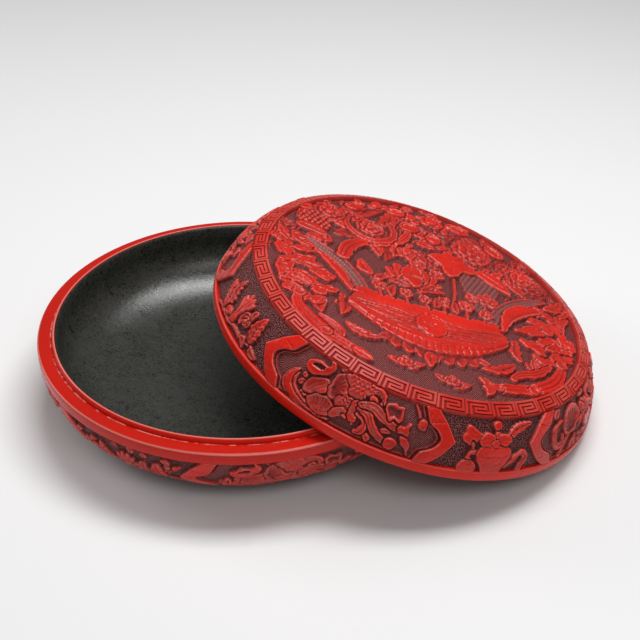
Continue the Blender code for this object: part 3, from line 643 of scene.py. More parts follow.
def cloud(face, centre, size, turn=0.0, mirror=False, top=2.1):
    """A lucky cloud: three round heads with a spiral cut in each, and a drawn-out tail."""
    spot = face.spot(centre, size * 1.9 + 1.0, turn, mirror)
    heads = (((0.0, 0.34), 0.56), ((-0.66, -0.10), 0.46), ((0.64, -0.08), 0.46))
    tail = flowing([(-0.2, -0.28), (0.55, -0.46), (1.15, -0.32), (1.6, -0.56)], steps=5) * size
    inside, _ = spot.along_line(tail, np.linspace(0.6, 0.16, len(tail)) * size)
    spot.leave(inside, top - 0.4, edge=0.8, moat=0.8)
    spot.groove(tail, 0.9, 0.6)
    for (x, y), radius in heads[::-1]:
        middle, reach = (x * size, y * size), radius * size
        spot.leave(spot.within(ring(middle, reach, 18)), top, edge=1.0, moat=0.7, sink=1.3, crown=0.2)
        spot.groove(flowing(curl(middle, reach * 0.62, 200.0, -1.2)), 0.9, 0.8)


def work_edges(height, spacing):
    """How far each point stands above, or lies below, the lacquer close round it."""
    near = wide = height
    for step in range(14):
        beside = sum(np.roll(wide, shift, axis) for axis in (0, 1) for shift in (1, -1))
        wide = (beside + 2.0 * wide) / 6.0
        if step == 2:
            near = wide
    # Raised edges feed the finish's painted highlights, and grooves and broad hollows feed its painted
    # shade.
    worked, sunk = (height - near) * 0.5 / spacing, (height - wide) * 0.42 / spacing
    return np.where(worked > 0.0, worked, np.minimum(worked, sunk))


def store_carving(piece, left, edge, along, across, ground=0.0):
    """Keeps what the finish reads: the lacquer left, the sharp edges, the place laid flat and its ground."""
    mesh = piece.data
    kept = np.zeros((5, len(mesh.vertices)), np.float32)
    for row, values in zip(kept, (left, edge, along, across, ground)):
        row[:np.size(left)] = np.broadcast_to(values, np.shape(left)).ravel()
    mesh.attributes.new("lacquer_left", "FLOAT", "POINT").data.foreach_set("value", kept[0])
    mesh.attributes.new("knife_edge", "FLOAT", "POINT").data.foreach_set("value", kept[1])
    mesh.attributes.new("laid_flat", "FLOAT_VECTOR", "POINT").data.foreach_set("vector", kept[2:].T.ravel())


def hand_cut(along, across, seed, shortest=5.0, longest=16.0):
    """Small waves of the carver's hand, about -1 to 1."""
    rng = np.random.default_rng(seed)
    waves = np.zeros(np.shape(along))
    for _ in range(10):
        length, angle = rng.uniform(shortest, longest), rng.uniform(0.0, np.pi)
        phase = rng.uniform(0.0, 6.3)
        waves += np.sin((along * np.cos(angle) + across * np.sin(angle)) * 2.0 * np.pi / length + phase)
    return waves / 4.0


def hand_finished(face, seed, wave, most):
    """The lacquer left on a face, with the carver's small waves on what stands."""
    waves = wave * hand_cut(face.along, face.across, seed)
    return np.clip(face.height + waves * (face.height > 0.4), 0.0, most)


def measured(curve):
    """How far down a curve each of its points lies."""
    return np.concatenate([[0.0], np.cumsum(np.hypot(*np.diff(curve, axis=0).T))])


def laid_wall(curve, steps, columns, top):
    """A wall's section at steps down its curve, and its whole face laid out flat."""
    rows = np.stack([np.interp(steps, measured(curve), curve[:, k]) for k in (0, 1)], -1)
    degrees = np.arange(columns) * 360.0 / columns - 180.0
    return rows, CarvedFace(*np.meshgrid(degrees * MM_PER_DEGREE, top - steps), 360.0 * MM_PER_DEGREE)


def cut_wall(name, face, rows, back, left, ground, spacing, place, body, node):
    """A carved ring: the rows of its section sunk by what was cut away, and a plain back behind them."""
    columns = face.along.shape[1]
    section = np.concatenate([rows, back])
    run = np.gradient(rows, axis=0)
    inward, sunk = np.zeros((len(section), 2)), np.zeros((len(section), columns))
    inward[:len(rows)] = np.stack([run[:, 1], -run[:, 0]], -1) / np.hypot(run[:, 0], run[:, 1])[:, None]
    sunk[:len(rows)] = WALL_CUT - left
    turns = np.radians(np.arange(columns) * 360.0 / columns - 180.0)
    radius = section[:, 0, None] + inward[:, 0, None] * sunk
    height = section[:, 1, None] + inward[:, 1, None] * sunk
    points = np.stack([radius * np.cos(turns), radius * np.sin(turns), height], -1).reshape(-1, 3)
    wall = closed_mesh(name, points, ring_faces(len(section), columns), place, carved_red, body,
                       node, 0.0)
    store_carving(wall, left / WALL_CUT, work_edges(left, spacing), face.along, face.across, ground)


def frame_side(face, side):
    """One side of a cartouche: a smooth bracket with a cusped inner edge and a fine bead inside it."""
    spot = face.spot((side * CARTOUCHE_HALF, 14.0), 24.0, mirror=side < 0)
    lobe = flowing([(-2.6, 5.6), (1.0, 3.6), (3.4, -0.2), (1.2, -4.4), (-2.6, -7.0)], steps=5)
    inner = [(-8.4, 15.0), (-6.6, 11.4), (-4.4, 6.9)] + lobe.tolist() + [(-4.6, -7.9), (-7.4, -14.8)]
    outer = [(-1.8, -14.8), (1.6, -12.6), (5.6, -8.6), (11.4, 0.1), (4.8, 9.2), (-1.2, 15.0)]
    spot.leave(spot.within(inner + outer), WALL_CUT, edge=0.7, moat=1.0, swell=0.0)
    spot.groove([(4.8, 9.2), (-4.4, 6.9)], 0.9, 0.6)
    spot.groove([(5.6, -8.6), (-4.6, -7.9)], 0.9, 0.6)
    bead = np.array(inner) - np.array((1.7, 0.0))
    spot.bead(bead, 0.95, 1.35)


def fill(face, outline, **how):
    """Leaves a form with a smooth closed outline."""
    outline = np.asarray(outline, float)
    middle = (outline.max(0) + outline.min(0)) / 2.0
    spot = face.spot(middle, max(outline.max(0) - outline.min(0)) / 2.0 + 2.0)
    spot.leave(spot.within(flowing(outline - middle, True, 4)), **how)
    return spot, middle


def lotus_and_ribbons(face):
    """Curled lotus leaves, a scaly cloud and knotted ribbons, for a cartouche."""
    soft = dict(edge=0.9, cup=0.5, lip=0.7, moat=0.4)
    leaf(face, (-12.6, 28.4), (-9.0, 27.4), 2.4, -0.1, 0, 1.5, 0.3, 0)
    for root, tip, width in (((-27.2, 14.2), (-25.2, 16.4), 2.6), ((-27.6, 9.6), (-24.6, 13.0), 2.4),
                             ((-24.6, 5.8), (-20.6, 7.6), 2.6), ((11.4, 4.8), (13.6, 1.0), 3.0),
                             ((18.0, 9.4), (22.4, 9.8), 2.4), ((8.0, 20.4), (9.4, 22.8), 2.0)):
        leaf(face, root, tip, width, 0.1, 0, 1.9, 0.2, 0)
    scroll(face, [(-30.8, 15.6), (-33.0, 11.8), (-33.0, 7.4), (-29.8, 4.2), (-24.0, 2.4), (-16.0, 1.8),
                  (-7.0, 2.2)], [1.4, 3.6, 4.8, 4.6, 3.8, 2.4, 1.4], 2.1, (-0.62,), 0.5, 0.0, 1.6)
    scroll(face, [(-29.8, 14.2), (-29.6, 9.8), (-26.4, 6.2), (-20.6, 4.2), (-12.0, 3.4)],
           [0.5, 1.1, 1.2, 1.1, 0.6], 1.9, (), 0.4)
    fill(face, [(-29.3, 21.8), (-27.4, 18.2), (-22.5, 17.8), (-19.0, 20.0), (-15.6, 22.8), (-15.2, 26.6),
                (-18.4, 28.8), (-17.8, 26.0), (-20.4, 25.0), (-24.0, 25.2), (-27.0, 23.8)], top=2.1,
         edge=1.1, moat=0.4)
    strokes(face, [[(-27.0, 19.6), (-23.0, 19.2), (-19.6, 21.2), (-16.8, 24.0), (-16.8, 27.0)]], 0.8, 0.45)
    fill(face, [(-26.6, 22.0), (-23.4, 23.9), (-19.8, 23.9), (-20.4, 21.9), (-23.4, 21.2)],
         top=0.5, edge=0.4, moat=0.2, sink=0.0, swell=0.0)
    fill(face, [(-23.8, 8.6), (-24.6, 12.0), (-22.8, 16.0), (-18.6, 18.6), (-14.6, 19.6), (-13.0, 16.6),
                (-14.0, 13.0), (-16.6, 10.6), (-20.0, 8.6)], top=2.2, lean=(-40.0, 0.8), **soft)
    strokes(face, [[(-22.6, 11.0), (-20.8, 14.6), (-17.4, 17.6)],
                   [(-21.4, 10.2), (-19.2, 13.6), (-15.8, 17.2)],
                   [(-19.6, 10.0), (-17.6, 12.8), (-15.0, 15.6)]], 0.7, 0.35)
    fill(face, [(-12.2, 24.0), (-9.0, 26.6), (-5.4, 24.6), (-3.6, 20.4), (-4.4, 16.4), (-7.6, 13.0),
                (-10.6, 12.2), (-12.6, 15.0), (-13.2, 19.5)], top=2.2, edge=0.9, cup=0.8, lip=0.8,
         lean=(10.0, 0.4), moat=0.4)
    strokes(face, [[(-11.2, 17.6), (-11.2 + 5.6 * math.cos(turn), 17.6 + 7.2 * math.sin(turn))]
                   for turn in np.radians(range(-62, 100, 18))], 0.8, 0.5)
    fill(face, [(-8.6, 26.6), (-4.4, 28.2), (2.0, 28.8), (8.4, 28.6), (12.8, 27.2), (15.0, 24.4),
                (15.2, 21.2), (13.6, 22.2), (11.4, 23.6), (8.6, 24.0), (6.4, 22.4), (4.4, 21.6),
                (3.8, 19.0), (1.0, 18.0), (-3.0, 18.8), (-4.4, 22.0)], top=1.5, edge=1.0, moat=0.4)
    for row, first, count in ((27.0, -4.6, 5), (24.9, -3.2, 5), (22.8, -2.6, 3), (20.8, -1.8, 3)):
        for step in range(count):
            scale = face.spot((first + 2.6 * step, row), 2.4)
            scale.bead(curl((0.0, 0.0), 1.25, 190.0, -0.55, 1.0, 14), 1.1, 2.2)
    scroll(face, [(6.0, 27.6), (10.6, 26.6), (13.4, 24.4), (14.4, 21.8)], [1.0, 2.2, 2.4, 1.0], 2.2,
           (-0.4,), 0.2)
    fill(face, [(-7.0, 10.0), (-8.0, 14.0), (-4.0, 17.0), (0.6, 17.6), (4.2, 17.4), (4.6, 12.0), (4.2, 7.0),
                (-1.0, 8.0)], top=1.3, edge=1.0, moat=0.4)
    for row in range(4):
        for step in range(3):
            ridge = face.spot((-5.4 + 2.7 * step + 0.6 * row, 11.2 + 1.7 * row), 2.4)
            ridge.bead(curl((0.0, 0.0), 1.1, 170.0, -0.5, 1.0, 12), 1.0, 2.1)
    fill(face, [(-20.0, 7.2), (-17.0, 10.4), (-12.6, 11.8), (-8.0, 10.6), (-6.2, 6.6), (-8.4, 3.2),
                (-14.0, 2.4), (-18.6, 4.2)], top=2.2, lean=(-80.0, 0.5), **soft)
    strokes(face, [[(-17.6, 9.0), (-16.4, 7.0), (-16.2, 5.0)], [(-16.0, 9.8), (-14.8, 7.4), (-14.6, 5.6)],
                   [(-13.0, 10.6), (-12.4, 8.4), (-12.6, 6.8)], [(-11.4, 10.6), (-11.0, 8.0), (-11.8, 5.6)],
                   [(-9.4, 10.2), (-9.2, 8.2), (-10.0, 6.4)], [(-17.4, 4.4), (-12.6, 3.6), (-8.4, 5.4)]],
            0.8, 0.45)
    fill(face, [(-7.0, 4.6), (-6.6, 8.8), (-4.0, 11.0), (-0.4, 11.2), (1.6, 9.2), (-1.0, 7.4), (-4.0, 5.4)],
         top=2.2, lean=(110.0, 0.5), **soft)
    fill(face, [(-1.6, 7.6), (2.0, 9.6), (4.6, 8.8), (4.4, 5.6), (2.0, 6.8)], top=2.1, edge=1.2, moat=0.4)
    fill(face, [(0.2, 11.0), (0.8, 16.8), (3.6, 18.2), (5.2, 14.0), (5.0, 8.4), (3.0, 7.0), (1.2, 8.4)],
         top=2.2, lean=(-20.0, 0.4), **soft)
    scroll(face, [(8.4, 18.0), (8.0, 21.4), (10.2, 22.4), (11.4, 19.2)], [1.2, 1.4, 1.4, 1.0], 2.0, (), 0.4)
    scroll(face, [(12.4, 18.4), (13.2, 20.8), (14.6, 18.4)], [1.0, 1.3, 0.8], 1.9, (), 0.4)
    scroll(face, [(5.2, 12.0), (9.0, 10.6), (10.0, 7.2), (8.4, 3.8), (6.8, 3.4)], [2.0, 3.0, 3.2, 2.8, 2.2],
           2.0, (0.0,), 0.5, 0.0, 1.2)
    scroll(face, [(4.6, 14.6), (9.4, 14.2), (12.4, 10.4), (16.0, 6.8), (20.0, 5.2), (23.0, 4.8)],
           [2.4, 4.2, 4.0, 3.4, 3.0, 2.8], 2.1, (-0.4, 0.3), 0.5, 0.0, 1.3)
    scroll(face, [(4.4, 17.0), (8.6, 18.2), (12.6, 17.8), (17.0, 15.4), (22.0, 13.6), (27.0, 13.2)],
           [2.4, 4.0, 4.6, 4.2, 3.6, 3.2], 2.1, (-0.45, 0.1, 0.5), 0.5, 0.0, 1.3)
    fill(face, [(25.2, 15.6), (27.6, 15.2), (30.8, 17.8), (30.2, 14.0), (30.8, 10.6), (27.6, 11.4),
                (25.4, 11.6)], top=2.2, edge=1.6, lean=(70.0, 0.4), moat=0.5)
    strokes(face, [[(26.4, 13.4), (28.6, 13.8), (30.0, 14.0)], [(26.6, 12.4), (28.6, 12.0)]], 0.8, 0.4)
    fill(face, [(21.0, 5.8), (22.6, 7.6), (25.4, 7.4), (27.0, 5.4), (26.0, 3.2), (24.2, 1.6), (21.8, 2.6)],
         top=2.2, edge=1.4, moat=0.5)
    strokes(face, [[(22.4, 6.2), (24.0, 4.6), (24.0, 2.8)], [(24.0, 4.6), (26.0, 5.4)]], 0.8, 0.5)
    fill(face, [(16.6, 22.8), (19.6, 24.2), (22.0, 23.2), (24.8, 23.6), (25.2, 19.6), (24.8, 15.6),
                (22.0, 16.8), (19.6, 15.8), (17.6, 18.0), (16.4, 20.0)], top=2.1, edge=0.9, cup=1.5,
         lip=0.9, moat=0.5)
    strokes(face, [[(18.6, 21.6), (20.4, 20.4)], [(22.8, 22.0), (21.6, 20.2)],
                   [(23.4, 18.0), (21.6, 19.4)]], 0.8, 0.4)
    fill(face, [(27.2, 10.2), (30.4, 10.0), (32.8, 6.8), (33.2, 1.6), (30.6, 4.6), (28.4, 7.4)], top=2.0,
         edge=1.3, lean=(120.0, 0.5), moat=0.5)
    scroll(face, [(30.0, 27.2), (32.4, 24.4), (34.0, 21.0)], [0.6, 1.2, 0.8], 1.5, ())
    fill(face, ring((36.0, 18.7), 2.4, 12), top=2.1, edge=1.6)
    strokes(face, [[(35.6, 20.0), (35.2, 18.6), (36.0, 17.2)]], 0.9, 0.7)


def fan_and_gourd(face):
    """A pleated fan crossed with a ribboned gourd, among leaves and curls, for a cartouche."""
    soft = dict(edge=1.4, moat=0.4)
    for root, tip, width in (((-13.0, 8.6), (-20.6, 1.6), 5.0), ((-7.0, 6.6), (-9.0, 0.6), 4.0),
                             ((12.4, 20.6), (16.6, 28.0), 4.6), ((-7.0, 27.4), (1.0, 26.4), 4.0),
                             ((22.0, 24.6), (31.6, 22.6), 4.6), ((31.0, 18.6), (36.4, 14.6), 3.8),
                             ((-34.0, 22.6), (-28.6, 26.6), 3.6), ((-2.0, 3.4), (6.0, 0.8), 3.2)):
        leaf(face, root, tip, width, 0.14, 0, 1.8, 0.3, 2)
    scroll(face, [(-28.0, 20.4), (-33.4, 17.6), (-35.0, 12.0), (-31.6, 7.4), (-27.4, 8.6), (-27.4, 12.4)],
           [1.2, 3.0, 3.8, 3.6, 2.8, 1.6], 2.0, (0.3,), 0.5, 0.0, 1.4)
    fill(face, [(-26.0, 15.0), (-24.5, 21.0), (-19.0, 25.8), (-12.5, 25.0), (-8.6, 19.5), (-12.0, 13.6),
                (-17.0, 11.0), (-23.0, 11.4)], top=2.2, edge=1.0, cup=0.9, lip=1.1, lean=(60.0, 0.4),
         moat=0.5)
    strokes(face, [[(-18.0, 12.4), (-18.0 + 8.0 * math.cos(turn), 14.4 + 9.6 * math.sin(turn))]
                   for turn in np.radians(range(0, 181, 18))], 0.9, 0.6)
    scroll(face, [(-21.5, 11.5), (-25.5, 6.6), (-29.0, 2.0)], [1.8, 2.2, 2.6], 2.0, (0.0,), 0.5, 0.0, 1.1)
    fill(face, ring((4.0, 11.4), 5.8, 14), top=2.2, **soft)
    fill(face, ring((4.0, 19.6), 3.7, 12), top=2.2, **soft)
    scroll(face, [(4.2, 22.4), (5.4, 25.4), (9.2, 26.4)], [1.6, 1.4, 1.0], 2.0, (), 0.5)
    strokes(face, [[(0.4, 13.6), (2.6, 9.6), (7.0, 7.4)], [(3.8, 15.6), (5.4, 11.6), (9.0, 9.8)],
                   [(1.8, 21.0), (3.6, 18.4), (6.6, 17.8)]], 0.9, 0.4)
    scroll(face, [(-9.0, 11.0), (-4.0, 15.6), (2.0, 15.6), (8.0, 16.6), (14.0, 14.6), (19.6, 15.8),
                  (25.6, 19.0)], [1.8, 3.0, 2.8, 3.0, 3.6, 3.4, 2.6], 2.2, (-0.4, 0.2), 0.5, 0.0, 1.2)
    scroll(face, [(-9.0, 6.0), (-3.0, 4.4), (3.0, 3.6), (10.0, 4.6), (15.4, 8.6), (20.6, 11.4),
                  (26.6, 9.8)], [1.6, 2.6, 3.0, 3.2, 3.6, 3.2, 2.2], 2.1, (-0.3, 0.4), 0.5, 0.0, 1.3)
    fill(face, [(26.0, 12.0), (26.2, 7.6), (28.6, 7.2), (31.8, 5.0), (30.6, 9.4), (32.0, 13.4),
                (28.2, 12.2)], top=2.2, edge=1.5, lean=(20.0, 0.4), moat=0.5)
    blossom(face, (-3.4, 20.8), 3.6, 20.0)
    blossom(face, (22.6, 3.6), 3.4, 50.0)
    blossom(face, (17.6, 20.6), 3.2, 10.0)


def bowed_vase(face):
    """A round-bellied vase tied with a bow, a scroll fan and a leaf spray, for between cartouches."""
    soft = dict(edge=1.4, moat=0.5)
    fill(face, [(-18.6, 16.6), (-18.0, 20.6), (-16.4, 23.6), (-13.4, 22.6), (-10.6, 20.6), (-8.6, 20.0),
                (-10.0, 17.0), (-12.4, 14.2), (-14.2, 13.8), (-16.6, 15.0)], top=2.1, **soft)
    strokes(face, [[(-15.6, 21.6), (-13.6, 20.6), (-12.0, 20.2)],
                   [(-16.4, 20.0), (-14.0, 18.8), (-11.4, 18.6)],
                   [(-16.6, 18.0), (-14.6, 16.8), (-12.2, 16.6)]], 0.8, 0.55)
    scroll(face, [(-12.8, 15.0), (-12.2, 12.8), (-12.8, 11.2)], [1.4, 1.0, 0.7], 1.6, ())
    leaf(face, (6.4, 18.2), (22.4, 25.0), 4.8, 0.10, 7, 2.1, 0.4, 3)
    scroll(face, [(-7.0, 11.6), (-10.6, 10.6), (-13.6, 9.2), (-13.8, 7.2), (-11.6, 5.6), (-12.6, 3.6)],
           [0.9, 1.5, 1.8, 1.8, 1.6, 2.0], 2.0, (), 0.5)
    fill(face, ring((0.0, 0.0), 1.0, 14) * (5.2, 4.6) + (-13.4, 2.0), top=2.1, swell=0.0, **soft)
    strokes(face, [curl((-13.0, 2.4), 2.4, 60.0, 0.8, 0.3), [(-17.4, 3.6), (-15.0, 5.2), (-12.6, 5.4)]],
            0.9, 0.6)
    scroll(face, [(7.2, 3.0), (10.6, 5.0), (13.4, 8.4), (17.0, 10.0), (19.4, 8.0), (17.8, 4.6),
                  (16.2, 0.4)], [1.2, 2.2, 2.6, 2.8, 2.8, 2.8, 3.0], 2.1, (-0.4,), 0.5, 0.0, 1.2)
    fill(face, [(-9.8, 9.6), (-8.8, 12.2), (-5.4, 13.9), (0.0, 14.6), (5.2, 13.9), (8.6, 12.4), (9.7, 9.6),
                (8.4, 6.2), (5.8, 2.8), (4.0, -1.6), (-4.4, -1.6), (-6.0, 2.8), (-8.6, 6.2)], top=2.0,
         edge=1.2, moat=0.5)
    scroll(face, [(-0.1, 24.0), (0.0, 21.6), (0.1, 18.0)], [1.3, 1.5, 3.8], WALL_CUT, (), 0.5, 0.0, 1.0)
    for x, y, long, tall, turn in ((-4.9, 17.2, 4.5, 3.3, 10.0), (4.9, 17.2, 4.3, 3.1, -10.0),
                                   (0.0, 15.6, 2.2, 2.0, 0.0)):
        fill(face.from_here((x, y), turn=turn), ring((0.0, 0.0), 1.0, 14) * (long, tall), top=WALL_CUT,
             edge=1.2, moat=0.3, sink=0.5)
    strokes(face, [[(-1.6, 16.0), (-4.4, 16.4), (-8.0, 15.6)], [(-1.6, 16.8), (-4.4, 18.0), (-8.2, 18.0)],
                   [(-1.4, 17.6), (-3.6, 19.4)], [(1.6, 16.0), (4.4, 16.4), (8.0, 15.6)],
                   [(1.6, 16.8), (4.4, 18.0), (8.2, 18.0)], [(1.4, 17.6), (3.6, 19.4)]], 0.9, 0.55)
    strokes(face, [[(-6.8, 4.4), (-3.0, 5.0), (0.0, 4.0), (3.0, 5.2), (6.6, 4.6)],
                   [(-4.6, 2.6), (-0.4, 2.0), (3.6, 2.8)],
                   [(-7.4, 9.4), (-3.6, 8.6), (0.0, 9.0), (3.8, 8.4), (7.2, 9.4)]], 0.9, 0.4)
    fill(face, ring((0.0, 24.7), 2.3, 12), top=WALL_CUT, edge=1.2, moat=0.4)


def leaf_spray(face):
    """Serrated leaves, a cockscomb flower and curling stems, for between cartouches."""
    scroll(face, [(-22.0, 1.6), (-14.0, 3.2), (-4.0, 2.6), (4.0, 4.6), (12.0, 3.4), (20.0, 5.4)],
           [1.0, 1.6, 1.8, 1.8, 1.6, 0.8], 1.7, ())
    leaf(face, (-14.0, 4.0), (-22.6, 17.6), 6.6, -0.12, 6, 2.0, 0.5, 4)
    leaf(face, (-10.6, 8.4), (-15.0, 22.8), 5.6, 0.12, 5, 1.9, 0.5, 3)
    leaf(face, (17.6, 6.4), (17.4, 22.4), 7.0, 0.10, 5, 2.1, 0.6, 4)
    spot, middle = fill(face, [(-4.4, 5.0), (-3.0, 11.0), (-5.2, 16.4), (-4.8, 20.8), (-2.4, 19.4),
                               (-2.0, 22.6), (0.0, 20.4), (1.4, 23.0), (2.4, 20.0), (4.6, 20.6),
                               (3.4, 16.0), (0.4, 11.4), (-0.6, 5.0)], top=2.1, cup=0.2, lip=0.9)
    for x in (-1.6, 0.2, 1.8):
        spot.groove(flowing([(x * 0.5, -4.0), (x * 0.6, 1.0), (x * 1.4, 6.0)]), 0.7, 0.5)
    scroll(face, curl((6.8, 11.6), 4.4, 230.0, -1.1, 0.35), [1.4, 2.0, 1.8, 1.4], 1.9, ())
    leaf(face, (9.4, 14.4), (10.6, 20.6), 3.4, 0.2, 0, 1.9, 0.4, 2)
    blossom(face, (6.6, 11.8), 2.6, 10.0)
    leaf(face, (9.6, 5.4), (14.6, 1.2), 3.4, 0.15, 0, 1.9, 0.4, 2)
    leaf(face, (19.0, 5.4), (26.4, 3.0), 3.6, -0.2, 0, 1.8, 0.3, 2)
    scroll(face, curl((-8.6, 5.6), 2.6, 20.0, 1.1, 0.3), [1.8, 1.4, 1.0], 1.8, ())


def small_growth(face, seed, low, high):
    """Sets small leaves and buds in the bare ground of a wall, between two heights."""
    rng = np.random.default_rng(seed)
    for _ in range(900):
        x, y, turn = rng.uniform(-326.0, 326.0), rng.uniform(low, high), rng.uniform(0.0, 6.3)
        length = rng.uniform(1.9, 3.2)
        room = face.spot((x, y), length + 0.4)
        if (face.height[room.near] > 0.3).mean() > 0.06:
            continue
        step = np.array((math.cos(turn), math.sin(turn))) * length
        leaf(face, (x - step[0], y - step[1]), (x + step[0], y + step[1]), rng.uniform(2.2, 3.4), 0.14, 0,
             rng.uniform(1.4, 2.1), 0.3, 0)


def carve_wall(face, foot, cartouches, between):
    """Frames with a design in each, and a vase or a leaf spray between them, where the ground is dotted."""
    dotted = np.ones(face.along.shape)
    for degrees, design in cartouches:
        centre = degrees * MM_PER_DEGREE
        panel = face.from_here((centre, foot))
        for side in (-1.0, 1.0):
            frame_side(panel, side)
        face.spot((centre, foot + 1.5), 40.0).bead([(-35.0, 0.0), (35.0, 0.0)], 1.1, 1.5)
        design(panel)
        dotted[np.abs(panel.along) < CARTOUCHE_HALF] = 0.0
    for degrees, design, mirror in between:
        design(face.from_here((degrees * MM_PER_DEGREE, foot), mirror))
    return dotted


base_band_bottom, coat_inner = BASE_HEIGHT - BASE_BAND_HEIGHT, RIM_RADIUS - COAT_THICKNESS
turned("base_rim_lacquered",
       eased([(LIP_OUTER_RADIUS + LIP_GAP, LIP_BOTTOM, 0.0), (LIP_OUTER_RADIUS + LIP_GAP, BASE_HEIGHT, 0.1),
              (RIM_RADIUS, BASE_HEIGHT, 1.7), (RIM_RADIUS, base_band_bottom, 0.7),
              (coat_inner, base_band_bottom, 0.0), (coat_inner, LIP_BOTTOM, 0.0)]),
       base_place,
       # The broad darker ring over the ledge and upper band is painted shade. The pale line on the outer
       # edge is a painted highlight. The patchy pale line at the lip's foot is wear.
       ringed_red("base_rim_red", base_place,
                  [(RIM_RADIUS - 4.0, BASE_HEIGHT, 9.0, 0.62, PAINTED_SHADE_RED, False),
                   (RIM_RADIUS - 0.5, BASE_HEIGHT - 0.5, 0.7, 0.50, HIGHLIGHT_AND_WEAR_PINK, False),
                   (LIP_OUTER_RADIUS + 0.3, BASE_HEIGHT, 0.6, 0.75, HIGHLIGHT_AND_WEAR_PINK, True)]),
       "base", "base_carved_coat")

coat_foot_radius = FOOT_RADIUS + BOND_GAP
coat_foot = (coat_foot_radius, base_band_bottom)
coat_reach, coat_fall = RIM_RADIUS - coat_foot_radius, base_band_bottom - FOOT_HEIGHT
wall_curve = np.array(arc(coat_foot, (coat_reach, coat_fall), 0.0, -90.0, 400))
wall_back = arc(coat_foot, (coat_reach - COAT_THICKNESS, coat_fall - COAT_THICKNESS), -90.0, 0.0, 3)
wall_steps = np.concatenate([np.arange(0.0, FINE_WALL, WALL_STEP),
                             np.linspace(FINE_WALL, measured(wall_curve)[-1], COARSE_ROWS)])
wall_rows, base_face = laid_wall(wall_curve, wall_steps, WALL_COLUMNS, 0.0)
base_dotted = carve_wall(base_face, FRAME_FOOT,
                         ((-164.0, fan_and_gourd), (-74.0, lotus_and_ribbons),
                          (16.0, fan_and_gourd), (106.0, lotus_and_ribbons)),
                         ((-119.0, leaf_spray, False), (-29.0, bowed_vase, True),
                          (61.0, leaf_spray, True), (151.0, bowed_vase, False)))
small_growth(base_face, 41, -29.0, -2.0)
cut_wall("base_carved_wall", base_face, wall_rows, wall_back, hand_finished(base_face, 3, 0.06, WALL_CUT),
         base_dotted, WALL_STEP, base_place, "base", "base_carved_coat")


# The lid's black lining
# The lid's inside is lacquered black over cloth, like the dish, down to the mouth.

LID_LINING_DEPTH, LID_LINING_THICKNESS = 6.2, 0.8
KEY_BAND_OUTER_RADIUS, KEY_BAND_OUTER_HEIGHT = 97.6, 31.6
KEY_BAND_INNER_RADIUS, KEY_BAND_INNER_HEIGHT = 89.8, 35.2
LID_BAND_HEIGHT, LID_WALL_BULGE, MEDALLION_CROWN = 6.5, 1.7, 1.5

lid_points = node_points("lid_lining")
lid_middle = lid_points.mean(axis=0)
spreads, directions = np.linalg.eigh(np.cov((lid_points - lid_middle).T))
lid_axis = directions[:, 0] * np.sign(directions[2, 0])
lid_mouth = lid_middle + lid_axis * ((lid_points - lid_middle) @ lid_axis).min()
lid_place = placed_on(lid_mouth, lid_axis)


def lid_wall_line(steps):
    """The lid's outer wall before it was carved, from the key band down to the rim band."""
    start = np.array((KEY_BAND_OUTER_RADIUS, KEY_BAND_OUTER_HEIGHT))
    run = np.array((RIM_RADIUS, LID_BAND_HEIGHT)) - start
    share = np.linspace(0.0, 1.0, steps + 1)[:, None]
    outward = np.array((-run[1], run[0])) / np.hypot(*run)
    return start + run * share + outward * LID_WALL_BULGE * 4.0 * share * (1.0 - share)


def lid_line(depth, foot):
    """The lid's whole skin moved in by a depth, from its centre down to its mouth."""
    radius = np.linspace(0.0, KEY_BAND_INNER_RADIUS, 8)[:-1]
    crown = KEY_BAND_INNER_HEIGHT + MEDALLION_CROWN * (1.0 - (radius / KEY_BAND_INNER_RADIUS) ** 2)
    line = np.concatenate([np.stack([radius, crown], -1),
                           [(KEY_BAND_INNER_RADIUS, KEY_BAND_INNER_HEIGHT)], lid_wall_line(10),
                           [(RIM_RADIUS, 0.0)]])
    run = np.diff(line, axis=0)
    normal = np.stack([run[:, 1], -run[:, 0]], -1) / np.hypot(run[:, 0], run[:, 1])[:, None]
    before, after = np.concatenate([normal[:1], normal]), np.concatenate([normal, normal[-1:]])
    middle = (before + after) / 2.0
    moved = line + depth * middle / (middle ** 2).sum(1)[:, None]
    moved[0, 0] = 0.0
    moved[-1] = (RIM_RADIUS - depth, foot)
    return moved


lining_face = lid_line(LID_LINING_DEPTH + LID_LINING_THICKNESS, 0.0)
turned("lid_lining_lacquered",
       lid_line(LID_LINING_DEPTH, 0.0).tolist() + lining_face[::-1].tolist(),
       lid_place, aged_black, "lid", "lid_lining")


# The lid's red rim and wall
# The rim is a plain rounded band. Above it the wall carries four cartouches, with
# treasures and leaves among ribbons in and between them, cut from one thick coat.

LID_WALL_COLUMNS, LID_WALL_STEP, MOUTH_EDGE = 1560, 0.5, 1.6
lid_rim_inner = RIM_RADIUS - LID_LINING_DEPTH + BOND_GAP
turned("lid_rim_lacquered",
       eased([(RIM_RADIUS, LID_BAND_HEIGHT, 1.5), (RIM_RADIUS, 0.0, 2.6), (lid_rim_inner, 0.0, 0.3),
              (lid_rim_inner, MOUTH_EDGE, 0.0), (coat_inner, MOUTH_EDGE, 0.0),
              (coat_inner, LID_BAND_HEIGHT - 0.3, 0.0)]),
       lid_place,
       # The pale line along the rim band's upper edge is a painted highlight.
       ringed_red("lid_rim_red", lid_place,
                  [(RIM_RADIUS - 0.35, LID_BAND_HEIGHT - 0.3, 0.7, 0.22, HIGHLIGHT_AND_WEAR_PINK, False)]),
       "lid", "lid_carved_coat")

